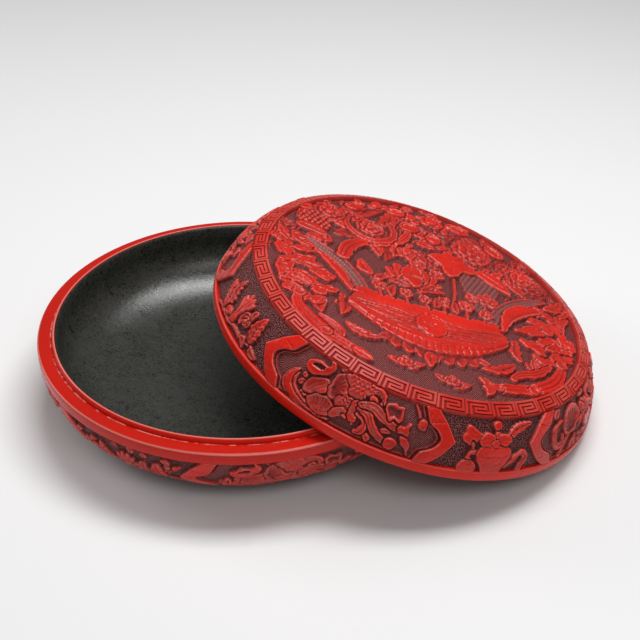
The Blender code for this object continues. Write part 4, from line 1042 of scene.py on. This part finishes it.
lid_curve = lid_wall_line(200)
lid_height = measured(lid_curve)[-1]
lid_steps = np.linspace(0.0, lid_height, int(lid_height / LID_WALL_STEP) + 1)
lid_rows, lid_face = laid_wall(lid_curve, lid_steps, LID_WALL_COLUMNS, lid_height)
lid_dotted = carve_wall(lid_face, 0.0,
                        ((-113.0, lotus_and_ribbons), (-29.5, fan_and_gourd),
                         (64.0, lotus_and_ribbons), (157.5, fan_and_gourd)),
                        ((-71.0, bowed_vase, False), (-157.0, leaf_spray, False),
                         (17.5, leaf_spray, True), (110.5, bowed_vase, True)))
lid_most = WALL_CUT - 0.4 * np.clip(1.0 - lid_face.across / 16.0, 0.0, 1.0)
cut_wall("lid_carved_wall", lid_face, lid_rows, lid_line(COAT_THICKNESS, MOUTH_EDGE)[8:-1:5][::-1],
         hand_finished(lid_face, 5, 0.06, lid_most), lid_dotted, LID_WALL_STEP, lid_place, "lid",
         "lid_carved_coat")


# The key-fret band
# A flat raised band of forty square-cut key frets between the wall and the medallion.
# Each fret is one line that winds in and out again, and runs on into the next.

FRETS, FRET_LINE, FRET_SLOPE, FRET_DEPTH, BAND_DEPTH = 40, 1.10, 0.22, 0.6, 2.9
FRET_COLUMNS, MIDDLE_MARK, FIRST_FRET = (0.80, 3.21, 5.63, 11.42, 13.83), 8.5, -91.1
FRET_TURNS = ((0, 4), (0, 0), (4, 0), (4, 3), (2, 3), (2, 2), (3, 2), (3, 1), (1, 1), (1, 4), (5, 4))

inner, outer = (np.array((KEY_BAND_INNER_RADIUS, KEY_BAND_INNER_HEIGHT)),
                np.array((KEY_BAND_OUTER_RADIUS, KEY_BAND_OUTER_HEIGHT)))
band_width = math.hypot(*(outer - inner))
fret_length = 2.0 * math.pi * (KEY_BAND_OUTER_RADIUS + KEY_BAND_INNER_RADIUS) / 2.0 / FRETS
fret_rows = [FRET_LINE / 2.0 + index * (band_width - FRET_LINE) / 4.0 for index in range(5)]
half_line = FRET_LINE / 2.0
off_line = (-half_line - FRET_SLOPE, -half_line, half_line, half_line + FRET_SLOPE)
band_rows = sorted({round(row + off, 4) for row in fret_rows for off in off_line
                    if 0.0 <= row + off <= band_width})
fret_marks = sorted({round(column + off, 4) for column in FRET_COLUMNS for off in off_line
                     if column + off >= 0.0} | {MIDDLE_MARK})
columns = FRET_COLUMNS + (fret_length + FRET_COLUMNS[0],)
runs = [(columns[a[0]], fret_rows[a[1]], columns[b[0]], fret_rows[b[1]])
        for a, b in zip(FRET_TURNS, FRET_TURNS[1:])]
runs += [(x0 - fret_length, y0, x1 - fret_length, y1) for x0, y0, x1, y1 in runs]
mark, row = np.meshgrid(fret_marks, band_rows)
line_top = np.zeros(mark.shape, bool)
for x0, y0, x1, y1 in runs:
    line_top |= ((mark > min(x0, x1) - half_line - 0.01) & (mark < max(x0, x1) + half_line + 0.01)
                 & (row > min(y0, y1) - half_line - 0.01) & (row < max(y0, y1) + half_line + 0.01))
fret_tops = np.tile(line_top, (1, FRETS))
fret_along = (np.tile(np.array(fret_marks), FRETS)
              + np.repeat(np.arange(FRETS) * fret_length, len(fret_marks)))
down = (outer - inner) / band_width
inward = np.array((down[1], -down[0]))
face_line = inner + (np.array(band_rows) / band_width)[:, None] * (outer - inner)
waves = 0.05 * (1.0 + hand_cut(*np.meshgrid(fret_along, band_rows), 9))
fret_left = np.where(fret_tops, 0.0, FRET_DEPTH) + waves * (~fret_tops)
angle = 2.0 * np.pi * fret_along / (fret_length * FRETS) + math.radians(FIRST_FRET)
band_back = np.array((outer + inward * BAND_DEPTH - (0.0, 0.5), inner + inward * BAND_DEPTH))
radius, height = (np.concatenate([face_line[:, k, None] + inward[k] * fret_left,
                                  np.repeat(band_back[:, k, None], len(angle), axis=1)]) for k in (0, 1))
band_points = np.stack([radius * np.cos(angle), radius * np.sin(angle), height], -1)


def fret_red():
    """The same red lacquer, rubbed paler on the fret lines, and darker in the cuts as a painted shade."""
    finish, tree, shader = new_finish("fret_red_lacquer")
    left, patches = stored(tree, "lacquer_left"), noise(tree, object_place(tree), 60.0, 4.0)
    worn = mixed(tree, spread(tree, patches, 0.4, 0.6), (0.52, 0.026, 0.017), (0.58, 0.062, 0.045))
    satin = spread(tree, patches, 0.3, 0.7, 0.30, 0.42)
    gloss = add_node(tree, "Mix", {0: left, 2: 0.75, 3: satin}).outputs[0]
    # The darker red of the cuts is painted shade.
    feed(tree, shader, {"Base Color": mixed(tree, spread(tree, left, 0.1, 0.9), (0.25, 0.013, 0.011), worn),
                        "Roughness": gloss, "Specular IOR Level": 0.18})
    return finish


band = closed_mesh("lid_key_band", band_points.reshape(-1, 3), ring_faces(*band_points.shape[:2]),
                   lid_place, fret_red(), "lid", "lid_carved_coat", 30.0)
store_carving(band, fret_tops, 0.0, fret_along, 0.0)


# The medallion
# The round top of the lid: a footed bowl of flowers under a crowded garden of
# peonies, leaves and clouds, cut through the red to a dark ground.

MEDALLION_CELLS, MEDALLION_RADIUS, MEDALLION_CUT, MEDALLION_STEP = 312, 90.6, 2.6, 0.56
FOLD_HEIGHT = 1.58

square = np.linspace(-1.0, 1.0, MEDALLION_CELLS + 1)
u, v = np.meshgrid(square, square)
medallion_x = MEDALLION_RADIUS * u * np.sqrt(1.0 - v ** 2 / 2.0)
medallion_y = MEDALLION_RADIUS * v * np.sqrt(1.0 - u ** 2 / 2.0)
garden = CarvedFace(medallion_x, medallion_y)


def flower_bowl(face):
    """A wide lobed bowl, cut with long waves round a boss and fluted below, on a skirt of petals."""
    for x in (-4, 4, -3, 3, -2, 2, -1, 1, 0):
        fill(face, [(x * 5.6 - 2.8, -50.0), (x * 6.6 - 4.2, -59.0 + 0.3 * x * x),
                    (x * 7.0, -64.6 + 0.5 * x * x), (x * 6.6 + 4.2, -59.0 + 0.3 * x * x),
                    (x * 5.6 + 2.8, -50.0)], top=1.9, cup=0.6, lip=1.1, moat=0.8, sink=1.2)
    leaf(face, (-2.6, -58.0), (-3.4, -69.6), 6.4, 0.0, 0, 2.3, 0.6, 0)
    spot, middle = fill(face, [(-39.5, -15.6), (-20.0, -18.2), (0.0, -19.4), (20.0, -18.6), (38.5, -16.4),
                               (40.0, -21.0), (43.6, -27.0), (43.4, -33.4), (38.0, -39.0), (30.0, -45.6),
                               (24.0, -50.0), (14.0, -54.0), (4.0, -56.0), (-6.0, -56.0), (-16.0, -53.6),
                               (-26.0, -49.0), (-34.0, -43.4), (-42.0, -37.4), (-45.8, -31.4),
                               (-43.4, -24.6), (-40.6, -20.4)],
                        top=2.2, edge=1.6, crown=0.4, moat=1.1)

    def at(points):
        return np.asarray(points, float) - middle
    back_rim = [(-42.4, -20.4), (-22.0, -22.4), (0.0, -23.4), (22.0, -22.6), (41.6, -20.6)]
    front_rim = [(43.6, -30.0), (37.0, -36.4), (26.0, -42.6), (12.0, -46.6), (-4.0, -47.6), (-20.0, -45.0),
                 (-33.0, -39.4), (-44.6, -30.6)]
    hollow = np.clip(spot.within(flowing(at(back_rim + front_rim), True, 4)) / 5.0, 0.0, 1.0)
    below = spot.within(flowing(at(front_rim + [(-26.0, -52.0), (0.0, -62.0), (26.0, -54.0)]), True, 4))
    fluted = np.clip((below - 2.0) / 5.0, 0.0, 1.0) * (face.height[spot.near] > 1.2)
    face.height[spot.near] -= 0.75 * hollow + 0.5 * fluted
    spot.bead(flowing(at(back_rim)), 1.4, 2.5)
    spot.bead(at([(-38.6, -16.2), (-20.0, -18.9), (0.0, -20.1), (20.0, -19.3), (37.8, -17.0)]), 1.3, 2.6)
    for row in range(5):
        level, half = -26.4 - 3.7 * row, 41.0 - 1.3 * row * row
        x = np.linspace(-half, half, 19)
        sag = -3.2 * (1.0 - (x / half) ** 2)
        wave = 0.9 * np.sin(x / 4.6 + 1.9 * row)
        spot.groove(flowing(at(np.stack([x, level + sag + wave], -1)), steps=3), 1.1, 0.8)
        for part in (slice(2, 9), slice(10, 17)):
            finer = np.stack([x[part] + 1.0, level + sag[part] - 1.9 + 0.9 * wave[part]], -1)
            spot.groove(flowing(at(finer), steps=3), 0.8, 0.4)
    spot.bead(flowing(at(front_rim)), 2.0, 2.6)
    spot.groove(flowing(at(front_rim)) - (0.0, 1.7), 1.1, 0.9)
    for share in np.linspace(-1.0, 1.0, 19):
        start = (share * 36.0, -54.6 + 13.0 * share * share)
        spot.groove([at(start), at((start[0] * 0.94, start[1] + 4.6))], 1.1, 0.8)
    boss = at([(0.0, -34.6)])[0]
    spot.leave(spot.within(ring(boss, 8.6, 30)), 2.4, edge=0.8, moat=0.7, sink=0.7, crown=0.1)
    spot.groove(ring(boss, 6.6, 30)[list(range(30)) + [0]], 0.9, 0.6)
    for turn in range(5):
        angle = math.radians(72.0 * turn + 12.0)
        eye = boss + 4.2 * np.array((math.cos(angle), math.sin(angle)))
        spot.groove(curl(eye, 1.9, 72.0 * turn, 0.8, 0.4, 12), 0.8, 0.6)
    spot.leave(spot.within(ring(boss, 1.8, 14)), 2.6, edge=0.7, moat=0.5, sink=0.9)


def fishtail(face, at, turn, size=1.0, top=2.3):
    """The flared, forked end of a ribbon or a scroll."""
    here = face.from_here(at, turn=turn)
    outline = np.array([(-2.4, 1.6), (0.6, 1.8), (3.0, 4.2), (6.0, 4.8), (4.8, 1.4), (6.0, 0.0),
                        (4.8, -1.4), (6.0, -4.8), (3.0, -4.2), (0.6, -1.8), (-2.4, -1.6)]) * size
    fill(here, outline, top=top, cup=0.6, lip=0.9)


def berries(face, centre, reach, top=2.4):
    """A packed bunch of round berries."""
    spot = face.spot(centre, reach + 3.0)
    for row in range(-4, 5):
        for step in range(-4, 5):
            at = ((step + 0.5 * (row % 2)) * 3.3, row * 2.9)
            if math.hypot(*at) < reach:
                spot.leave(spot.within(ring(at, 1.15, 10)), top, edge=1.2, moat=0.6, sink=1.6)


def maple_leaf(face, centre, radius, turn):
    """A five-pointed maple leaf with a vein to each point."""
    here = face.from_here(centre, turn=turn)
    lobes = ((-146.0, 0.66), (-80.0, 0.94), (0.0, 1.06), (80.0, 0.94), (146.0, 0.66))
    outline = []
    for lobe, reach in lobes:
        for off, share in ((-33.0, 0.60), (-17.0, 0.80), (0.0, 1.0), (17.0, 0.80)):
            angle = math.radians(lobe + off)
            outline.append((radius * reach * share * math.cos(angle),
                            radius * reach * share * math.sin(angle)))
    spot = here.spot((0.0, 0.0), radius * 1.2)
    spot.leave(spot.within(outline), 2.5, edge=0.9, moat=1.0)
    for lobe, reach in lobes:
        tip = (0.8 * radius * reach * math.cos(math.radians(lobe)),
               0.8 * radius * reach * math.sin(math.radians(lobe)))
        spot.groove([(0.0, 0.0), tip], 0.9, 0.6)


def lotus_bloom(face, centre, radius, turn=0.0):
    """A lotus flower seen from the side, its petals spread round a raised seed pod."""
    here = face.from_here(centre, turn=turn)
    for angle, length, width in ((4.0, 1.0, 0.50), (176.0, 1.0, 0.50), (30.0, 1.02, 0.56),
                                 (150.0, 1.02, 0.56), (58.0, 1.0, 0.60), (122.0, 1.0, 0.60),
                                 (90.0, 0.95, 0.66)):
        tip = (radius * length * math.cos(math.radians(angle)),
               radius * length * math.sin(math.radians(angle)))
        leaf(here, (0.0, -0.12 * radius), tip, radius * width * 1.15, 0.0, 0, 2.3, 0.4, 0)
    fill(here, [(-0.34 * radius, 0.14 * radius), (0.0, 0.26 * radius), (0.34 * radius, 0.14 * radius),
                (0.18 * radius, -0.26 * radius), (-0.18 * radius, -0.26 * radius)], top=2.6, edge=1.0,
         moat=0.8)


def drifting_cloud(face, centre, size, turn, seed, top=2.3):
    """A flat drift of cloud with a waving outline, stepped along its edge and curled at its heart."""
    rng = np.random.default_rng(seed)
    around = np.radians(np.arange(0.0, 360.0, 12.0))
    reach = size * (1.0 + 0.20 * np.sin(3.0 * around + rng.uniform(0.0, 6.3))
                    + 0.13 * np.sin(5.0 * around + rng.uniform(0.0, 6.3))
                    + 0.09 * np.sin(8.0 * around + rng.uniform(0.0, 6.3)))
    outline = np.stack([1.35 * reach * np.cos(around), 0.72 * reach * np.sin(around)], -1)
    here = face.from_here(centre, turn=turn)
    fill(here, outline, top=top, edge=0.8, moat=0.6, sink=1.6)
    strokes(here, [outline[4:17] * 0.66, outline[20:29] * 0.60], 1.0, 0.7)
    strokes(here, [curl((0.34 * size, 0.0), 0.30 * size, 180.0 * (seed % 2), 1.0, 0.3)], 0.9, 0.7)


def leaf_cluster(face, centre, reach, turn, mirror=False):
    """Three pointed leaves that spread from one stem."""
    here = face.from_here(centre, mirror, turn)
    leaf(here, (-0.6 * reach, 0.0), (0.50 * reach, 0.90 * reach), reach * 0.66, 0.14, 4, 2.0, 0.8, 3)
    leaf(here, (-0.6 * reach, 0.0), (0.55 * reach, -0.85 * reach), reach * 0.62, -0.14, 4, 2.0, 0.8, 3)
    leaf(here, (-0.8 * reach, 0.0), (reach, 0.05 * reach), reach * 0.70, 0.08, 5, 2.3, 0.8, 4)


def grow_between(face, may_grow, seed):
    """Fills bare ground with overlapping leaves, blossoms and clouds, the larger ones first."""
    rng = np.random.default_rng(seed)
    for size, taken in ((10.5, 0.22), (8.0, 0.20), (6.2, 0.16), (4.6, 0.12), (3.4, 0.08)):
        for _ in range(330):
            x, y = rng.uniform(-88.0, 88.0, 2)
            kind, turn, mirror = rng.integers(5), rng.uniform(0.0, 360.0), bool(rng.integers(2))
            if math.hypot(x, y) > 90.0 - size * 0.7 or not may_grow(x, y):
                continue
            room = face.spot((x, y), size * 0.85)
            if (face.height[room.near] > 0.3).mean() > taken:
                continue
            step = np.array((math.cos(math.radians(turn)), math.sin(math.radians(turn)))) * size
            if kind < 2 or size < 4.0:
                leaf(face, (x - step[0], y - step[1]), (x + step[0], y + step[1]), size * 0.95,
                     0.14 if mirror else -0.14, 4 if kind else 0, rng.uniform(1.5, 2.1), 0.6,
                     2 if kind else 0)
            elif kind == 2:
                cloud(face, (x, y), size * 0.85, turn, mirror, rng.uniform(1.6, 2.1))
            elif kind == 3:
                peony(face, (x, y), size * 0.95, turn, rng.uniform(1.8, 2.2))
            else:
                leaf_cluster(face, (x, y), size * 0.95, turn, mirror)


def crowded(x, y):
    """Where the garden is full: above the bowl's flowers, and outside the sashes."""
    return y > 25.0 + 0.08 * abs(x) or (abs(x) > 52.0 and -46.0 < y < 34.0)


grow_between(garden, crowded, 11)

# Beside the bowl: a fan of dusty folds, banks of cloud and leaves, and on each side a
# hatched sash and a smooth wing
dusty = np.zeros(medallion_x.shape)
folds = garden.spot((32.0, 11.0), 24.0)
folded = folds.within(flowing([(-9.0, 15.0), (8.0, 15.0), (13.0, 8.0), (8.0, -4.0), (3.0, -14.0),
                               (-3.0, -18.0), (-7.0, -8.0)], True, 4))
folds.leave(folded, 1.5, edge=0.4, moat=0.4, lip=0.2)
for step in range(13):
    folds.groove([(-26.0 + 3.1 * step, -19.0), (-8.0 + 3.1 * step, 17.0)], 1.7, 1.1)
dusty[folds.near] = folded > 0.0
for side in (-1.0, 1.0):
    bank = garden.from_here((0.0, 0.0), mirror=side < 0)
    patch = np.hypot((bank.along - 70.0) / 22.0, (bank.across + 14.0) / 33.0) < 1.0
    garden.height[patch] = 0.0
    leaf(bank, (58.0, -33.0), (60.0, -48.0), 7.4, 0.14, 0, 2.0, 0.6, 0)
    leaf(bank, (48.6, -26.0), (49.4, -45.0), 7.0, -0.12, 4, 2.0, 0.6, 0)
    for x, y, size, turn, seed in ((79.0, 3.0, 7.0, 70.0, 1), (66.0, 10.0, 6.6, -20.0, 2),
                                   (80.0, -16.0, 6.4, 95.0, 3), (70.0, -4.0, 7.4, -8.0, 4),
                                   (60.0, -12.0, 6.0, 24.0, 5), (70.0, -20.0, 6.6, 10.0, 6),
                                   (59.0, -27.0, 5.6, -24.0, 7), (74.0, -32.0, 6.0, 30.0, 8),
                                   (84.0, 16.0, 4.6, 80.0, 9), (64.0, -38.0, 4.6, -10.0, 10)):
        drifting_cloud(bank, (x, y), size, turn, seed + (20 if side < 0 else 0), 2.0 + 0.12 * (seed % 4))
    leaf(bank, (72.0, 14.0), (84.0, 26.0), 7.6, -0.14, 4, 2.3, 0.6, 3)
    leaf(bank, (66.0, -26.0), (82.0, -25.0), 6.4, 0.16, 4, 2.4, 0.6, 3)
    sash = flowing([(74.0, 22.0), (64.6, 17.6), (55.0, 10.6), (46.8, 2.0), (41.0, -7.0), (37.6, -15.0)])
    sash_widths = np.interp(np.linspace(0.0, 1.0, len(sash)), (0.0, 0.2, 0.5, 1.0), (2.0, 6.4, 8.6, 7.6))
    scroll(bank, sash, sash_widths, 1.5, (-0.64, 0.0, 0.64), edge=0.5)
    edges = bank.spot((56.0, 4.0), 28.0)
    for step in range(2, len(sash) - 2):
        edges.groove([sash[step] - (59.4, 2.0), sash[step] - (52.6, 6.0)], 0.9, 0.5)
    run = np.gradient(sash, axis=0)
    beside = np.stack([-run[:, 1], run[:, 0]], -1) / np.hypot(run[:, 0], run[:, 1])[:, None]
    for edge in (-1.0, 1.0):
        edges.bead(sash - (56.0, 4.0) + edge * beside * (sash_widths[:, None] / 2.0 - 0.4), 1.3, 1.9)
    inside, _ = edges.along_line(sash - (56.0, 4.0), sash_widths)
    dusty[edges.near] = np.maximum(dusty[edges.near], inside > 0.0)
scroll(garden, [(-63.0, 9.6), (-57.6, 5.0), (-51.6, -2.6), (-47.0, -11.0), (-43.6, -20.0)],
       [1.6, 4.4, 5.4, 5.0, 2.4], 2.4, (0.45,))
scroll(garden, [(66.0, 8.4), (58.0, 5.6), (50.6, -1.0), (46.0, -9.0), (42.6, -19.6)],
       [5.0, 9.6, 9.4, 6.4, 2.4], 2.4, (0.6,))

flower_bowl(garden)

# Below the bowl: sprigs on bare ground, between two sceptre scrolls
for sprig_x, sprig_y, sprig_turn in ((-16.6, -71.0, 4.0), (7.6, -76.8, -2.0)):
    sprig = garden.from_here((sprig_x, sprig_y), turn=sprig_turn)
    leaf(sprig, (0.0, 0.4), (-9.6, 2.4), 4.8, 0.12, 0, 2.1, 0.5, 0)
    leaf(sprig, (0.0, 0.4), (10.4, 1.2), 4.8, -0.12, 0, 2.1, 0.5, 0)
    leaf(sprig, (-1.0, -1.0), (6.6, -3.2), 3.4, -0.1, 0, 1.9, 0.4, 0)
    blossom(sprig, (0.0, 0.4), 4.0, 18.0, 2.3)
leaf(garden, (-47.0, -50.6), (-27.6, -56.0), 6.4, -0.14, 5, 2.2, 0.7, 3)
leaf(garden, (45.0, -48.6), (25.0, -59.4), 6.4, 0.12, 5, 2.2, 0.7, 3)
for side, path, widths, branch in ((-1.0, [(72.0, -35.4), (73.0, -42.0), (69.4, -50.4), (62.6, -58.6),
                                           (55.6, -64.4), (47.6, -69.0), (41.0, -72.6)],
                                    [4.0, 5.0, 8.0, 8.6, 8.0, 6.8, 6.0],
                                    [(60.0, -50.0), (54.6, -54.0), (50.4, -59.0), (50.0, -65.0)]),
                                   (1.0, [(74.0, -38.0), (71.0, -46.4), (66.4, -54.6), (59.0, -61.6),
                                          (51.6, -66.6), (42.0, -69.6), (33.6, -71.8)],
                                    [4.0, 6.0, 7.6, 7.4, 7.0, 6.4, 6.0],
                                    [(66.0, -42.0), (60.6, -48.0), (55.0, -52.4), (47.0, -56.0),
                                     (42.4, -61.0)])):
    stem = garden.from_here((0.0, 0.0), mirror=side < 0)
    scroll(stem, branch, [2.6, 5.0, 5.0, 3.6], 2.2, (-0.3, 0.3))
    scroll(stem, path, widths, 2.4, (-0.36, 0.36), 1.0)
    fill(stem, ring((path[0][0] - 0.6, path[0][1] + 0.6), 3.4, 12), top=2.5, edge=1.0, cup=0.9, lip=0.8)
    fill(stem, ring((57.4, -62.6) if side < 0 else (53.0, -66.4), 3.2, 12), top=2.6, edge=1.0, cup=0.9,
         lip=0.8)
    if side > 0:
        fishtail(stem, (31.4, -72.4), 194.0, 1.3, 2.5)
    else:
        leaf(stem, (44.0, -70.6), (33.6, -76.4), 6.6, 0.0, 0, 2.4, 0.3, 0)

# Above the bowl: flowers on bare ground, with a lotus in the middle of them
for stem in ([(-27.0, -18.0), (-27.6, -10.0)], [(-12.0, -19.0), (-12.6, -11.0)],
             [(9.0, -19.0), (9.6, -10.0)], [(22.0, -18.0), (22.6, -9.0)],
             [(0.0, -19.0), (-3.0, -8.0), (-7.6, 2.0)], [(32.0, -17.0), (35.0, 2.0)],
             [(-20.0, -18.0), (-29.0, -5.0), (-35.0, 2.0)], [(14.0, -15.0), (17.0, 4.0), (18.0, 22.0)]):
    scroll(garden, stem, [1.7, 1.5], 1.8, ())
for x, y, size in ((-27.4, -8.6, 4.2), (-12.4, -9.6, 3.8), (10.2, -8.2, 4.6), (22.4, -6.4, 4.6),
                   (33.6, -9.6, 4.2), (-1.6, -11.0, 3.6), (36.4, 5.0, 6.0), (27.0, 3.6, 4.0)):
    blossom(garden, (x, y), size, 36.0 * x, 2.3)
leaf(garden, (-21.0, -16.0), (-18.6, -5.0), 5.4, 0.1, 0, 2.0, 0.6, 0)
leaf(garden, (3.8, -16.0), (4.6, -6.4), 4.6, -0.1, 0, 2.0, 0.6, 0)
leaf(garden, (16.6, -16.0), (16.2, -5.0), 4.6, 0.1, 0, 2.0, 0.6, 0)
leaf(garden, (-31.6, -1.0), (-37.6, 12.4), 8.0, 0.1, 0, 2.3, 0.8, 3)
leaf(garden, (-30.0, -3.0), (-23.4, 4.0), 5.4, -0.1, 0, 2.1, 0.7, 0)
lotus_bloom(garden, (-7.6, 3.2), 17.0, 4.0)
leaf(garden, (-4.0, -4.0), (10.4, 0.0), 6.0, 0.14, 0, 2.1, 0.7, 3)
leaf(garden, (-9.0, -2.0), (-22.0, -2.0), 6.0, -0.14, 0, 2.1, 0.7, 3)

# The upper garden: a rosette in a curling ribbon, a maple leaf, peonies, berries and round leaves
scroll(garden, [(-47.0, 12.0), (-44.0, 22.0), (-36.0, 30.6), (-24.0, 35.0), (-14.0, 42.0), (-8.0, 51.0),
                (-6.0, 60.0)], [7.6, 8.4, 6.4, 5.4, 5.6, 5.0, 3.0], 2.3, (-0.2, 0.45), 1.0)
for root, tip, width in (((-30.0, 32.0), (-26.0, 20.6), 7.0), ((-17.0, 37.0), (-17.4, 24.4), 6.6),
                         ((-7.0, 38.0), (1.6, 24.6), 6.6), ((-2.0, 47.0), (9.4, 45.0), 6.4)):
    leaf(garden, root, tip, width, 0.12, 3, 2.1, 0.7, 2)
scroll(garden, curl((-30.0, 50.4), 14.6, 40.0, -0.72, 0.96, 16), [2.0, 4.0, 4.6, 4.6, 4.0, 3.0, 1.6], 2.1,
       (-0.3, 0.3), 1.0)
peony(garden, (-30.0, 50.4), 8.6, 12.0, 2.5)
peony(garden, (-54.0, 57.0), 9.6, 0.0, 2.3)
berries(garden, (-63.0, 41.6), 9.0)
leaf(garden, (-74.0, 34.0), (-56.0, 26.0), 9.0, 0.14, 0, 2.3, 0.5, 0)
leaf(garden, (-76.0, 24.0), (-62.0, 12.0), 8.0, -0.14, 0, 2.3, 0.5, 2)
blossom(garden, (-9.6, 31.6), 5.8, 10.0, 2.4)
blossom(garden, (-3.6, 21.6), 5.0, 10.0, 2.3)
blossom(garden, (7.4, 17.6), 4.6, 50.0, 2.3)
maple_leaf(garden, (19.0, 36.0), 16.4, -102.0)
leaf(garden, (32.6, 33.0), (52.0, 17.6), 10.4, 0.10, 0, 2.5, 0.5, 0)
leaf(garden, (50.0, 34.0), (60.0, 20.0), 7.6, 0.12, 4, 2.2, 0.7, 2)
peony(garden, (32.6, 54.0), 12.4, 30.0, 2.6)
peony(garden, (62.0, 40.0), 10.0, 20.0, 2.4)
for x, y, length, width, turn in ((-5.6, 63.0, 6.2, 5.2, 20.0), (26.0, 77.0, 8.0, 4.8, -10.0),
                                  (-13.0, 77.0, 6.0, 4.4, 8.0), (48.0, 62.0, 7.0, 4.6, -40.0),
                                  (9.0, 57.0, 4.4, 5.6, 0.0), (-38.0, 71.0, 7.0, 4.4, 28.0)):
    pad = garden.from_here((x, y), turn=turn)
    fill(pad, ring((0.0, 0.0), 1.0, 14) * (length, width), top=2.5, edge=1.6, crown=0.1, moat=1.0)
    scroll(pad, [(-0.5 * length, 0.3 * width), (0.0, 0.45 * width), (0.5 * length, 0.2 * width)],
           [0.5, 1.0, 0.5], 2.6, (), moat=0.8)
cloud(garden, (10.0, 76.0), 6.4, 8.0, False, 2.2)
cloud(garden, (-24.0, 78.0), 6.0, 20.0, True, 2.2)

from_middle = np.hypot(medallion_x, medallion_y)
medallion_left = np.where(from_middle > KEY_BAND_INNER_RADIUS + 0.1, 0.0,
                          hand_finished(garden, 7, 0.08, MEDALLION_CUT))
medallion_top = (KEY_BAND_INNER_HEIGHT + MEDALLION_CROWN * (1.0 - (from_middle / KEY_BAND_INNER_RADIUS) ** 2)
                 - MEDALLION_CUT + medallion_left)
medallion_points = np.stack([medallion_x, medallion_y, medallion_top], -1).reshape(-1, 3)
grid = np.arange(medallion_x.size).reshape(medallion_x.shape)
rim_loop = np.concatenate([grid[0, :-1], grid[:-1, -1], grid[-1, :0:-1], grid[:0:-1, 0]])
skirt_loop = grid.size + np.arange(len(rim_loop))
medallion_faces = (
    np.stack([grid[:-1, :-1], grid[:-1, 1:], grid[1:, 1:], grid[1:, :-1]], -1).reshape(-1, 4).tolist()
    + np.stack([rim_loop, skirt_loop, np.roll(skirt_loop, -1), np.roll(rim_loop, -1)], -1).tolist()
    + [skirt_loop[::-1].tolist()])
skirt = medallion_points[rim_loop] - (0.0, 0.0, 0.5)
medallion = closed_mesh("lid_medallion", np.concatenate([medallion_points, skirt]), medallion_faces,
                        lid_place, carved_red, "lid", "lid_carved_coat", 0.0)
store_carving(medallion, medallion_left / MEDALLION_CUT, work_edges(medallion_left, MEDALLION_STEP),
              medallion_x, medallion_y, 3.0 * dusty * (garden.height < FOLD_HEIGHT) - 1.0)


# The studio
# A plain pale floor that runs on to a pale background, a wide soft lamp overhead, two
# weaker ones at the left and in front, and the camera at the photograph's angle.

FLOOR_SIZE = 14.0
CAMERA_DOWN, CAMERA_ROLL, CAMERA_TURN = 35.01, 1.12, 1.01
CAMERA_REACH, CAMERA_ACROSS, CAMERA_UP, CAMERA_LENS = 685.0, -44.24, -37.13, 67.5

floor_finish, floor_tree, floor_shader = new_finish("pale_floor")
feed(floor_tree, floor_shader, {"Base Color": (0.80, 0.80, 0.80, 1.0), "Roughness": 0.9,
                                "Specular IOR Level": 0.2})
floor_mesh = bpy.data.meshes.new("studio_floor")
reach = FLOOR_SIZE / 2.0
floor_mesh.from_pydata([(-reach, -reach, 0.0), (reach, -reach, 0.0), (reach, reach, 0.0),
                        (-reach, reach, 0.0)], [], [(0, 1, 2, 3)])
floor_mesh.materials.append(floor_finish)
studio_floor = bpy.data.objects.new("studio_floor", floor_mesh)
bpy.context.scene.collection.objects.link(studio_floor)


def soft_lamp(name, place, aim, size, power, spin=0.0):
    """A soft box of a width and a height in metres, turned in its own plane, with its power in watts."""
    light = bpy.data.lights.new(name, "AREA")
    light.shape = "RECTANGLE"
    light.size, light.size_y = size
    light.energy = power
    lamp = bpy.data.objects.new(name, light)
    lamp.location = place
    facing = (Vector(aim) - Vector(place)).to_track_quat("-Z", "Y")
    lamp.rotation_euler = (facing @ Quaternion((0.0, 0.0, 1.0), math.radians(spin))).to_euler()
    bpy.context.scene.collection.objects.link(lamp)


soft_lamp("overhead_lamp", (0.15, 0.15, 1.0), (0.0, 0.0, 0.0), (0.68, 0.34), 8.8, 45.0)
soft_lamp("left_lamp", (-0.95, 0.35, 0.55), (0.0, 0.0, 0.02), (0.5, 0.5), 2.4)
soft_lamp("front_lamp", (0.14, -0.70, 0.85), (0.0, 0.0, 0.0), (0.7, 0.3), 2.4)

world = bpy.data.worlds.new("studio_air")
world.use_nodes = True
background = world.node_tree.nodes["Background"]
background.inputs["Color"].default_value = (1.0, 1.0, 1.0, 1.0)
background.inputs["Strength"].default_value = 0.20
bpy.context.scene.world = world

down, roll, turn = (math.radians(v) for v in (CAMERA_DOWN, CAMERA_ROLL, -CAMERA_TURN))
spin = Matrix.Rotation(turn, 3, "Z")
looking = spin @ Vector((0.0, math.cos(down), -math.sin(down)))
right = spin @ Vector((1.0, 0.0, 0.0))
up = right.cross(looking)
level_right = math.cos(roll) * right + math.sin(roll) * up
level_up = math.cos(roll) * up - math.sin(roll) * right
eye = -looking * CAMERA_REACH - level_right * CAMERA_ACROSS - level_up * CAMERA_UP
camera = bpy.data.objects.new("camera", bpy.data.cameras.new("camera"))
camera.data.lens = CAMERA_LENS
camera.data.sensor_width = 36.0
camera.data.clip_end = 50.0
camera.matrix_world = (Matrix.Translation(eye / 1000.0 + base_place.translation)
                       @ Matrix((level_right, level_up, -looking)).transposed().to_4x4())
bpy.context.scene.collection.objects.link(camera)
bpy.context.scene.camera = camera
bpy.context.scene.view_settings.view_transform = "Standard"
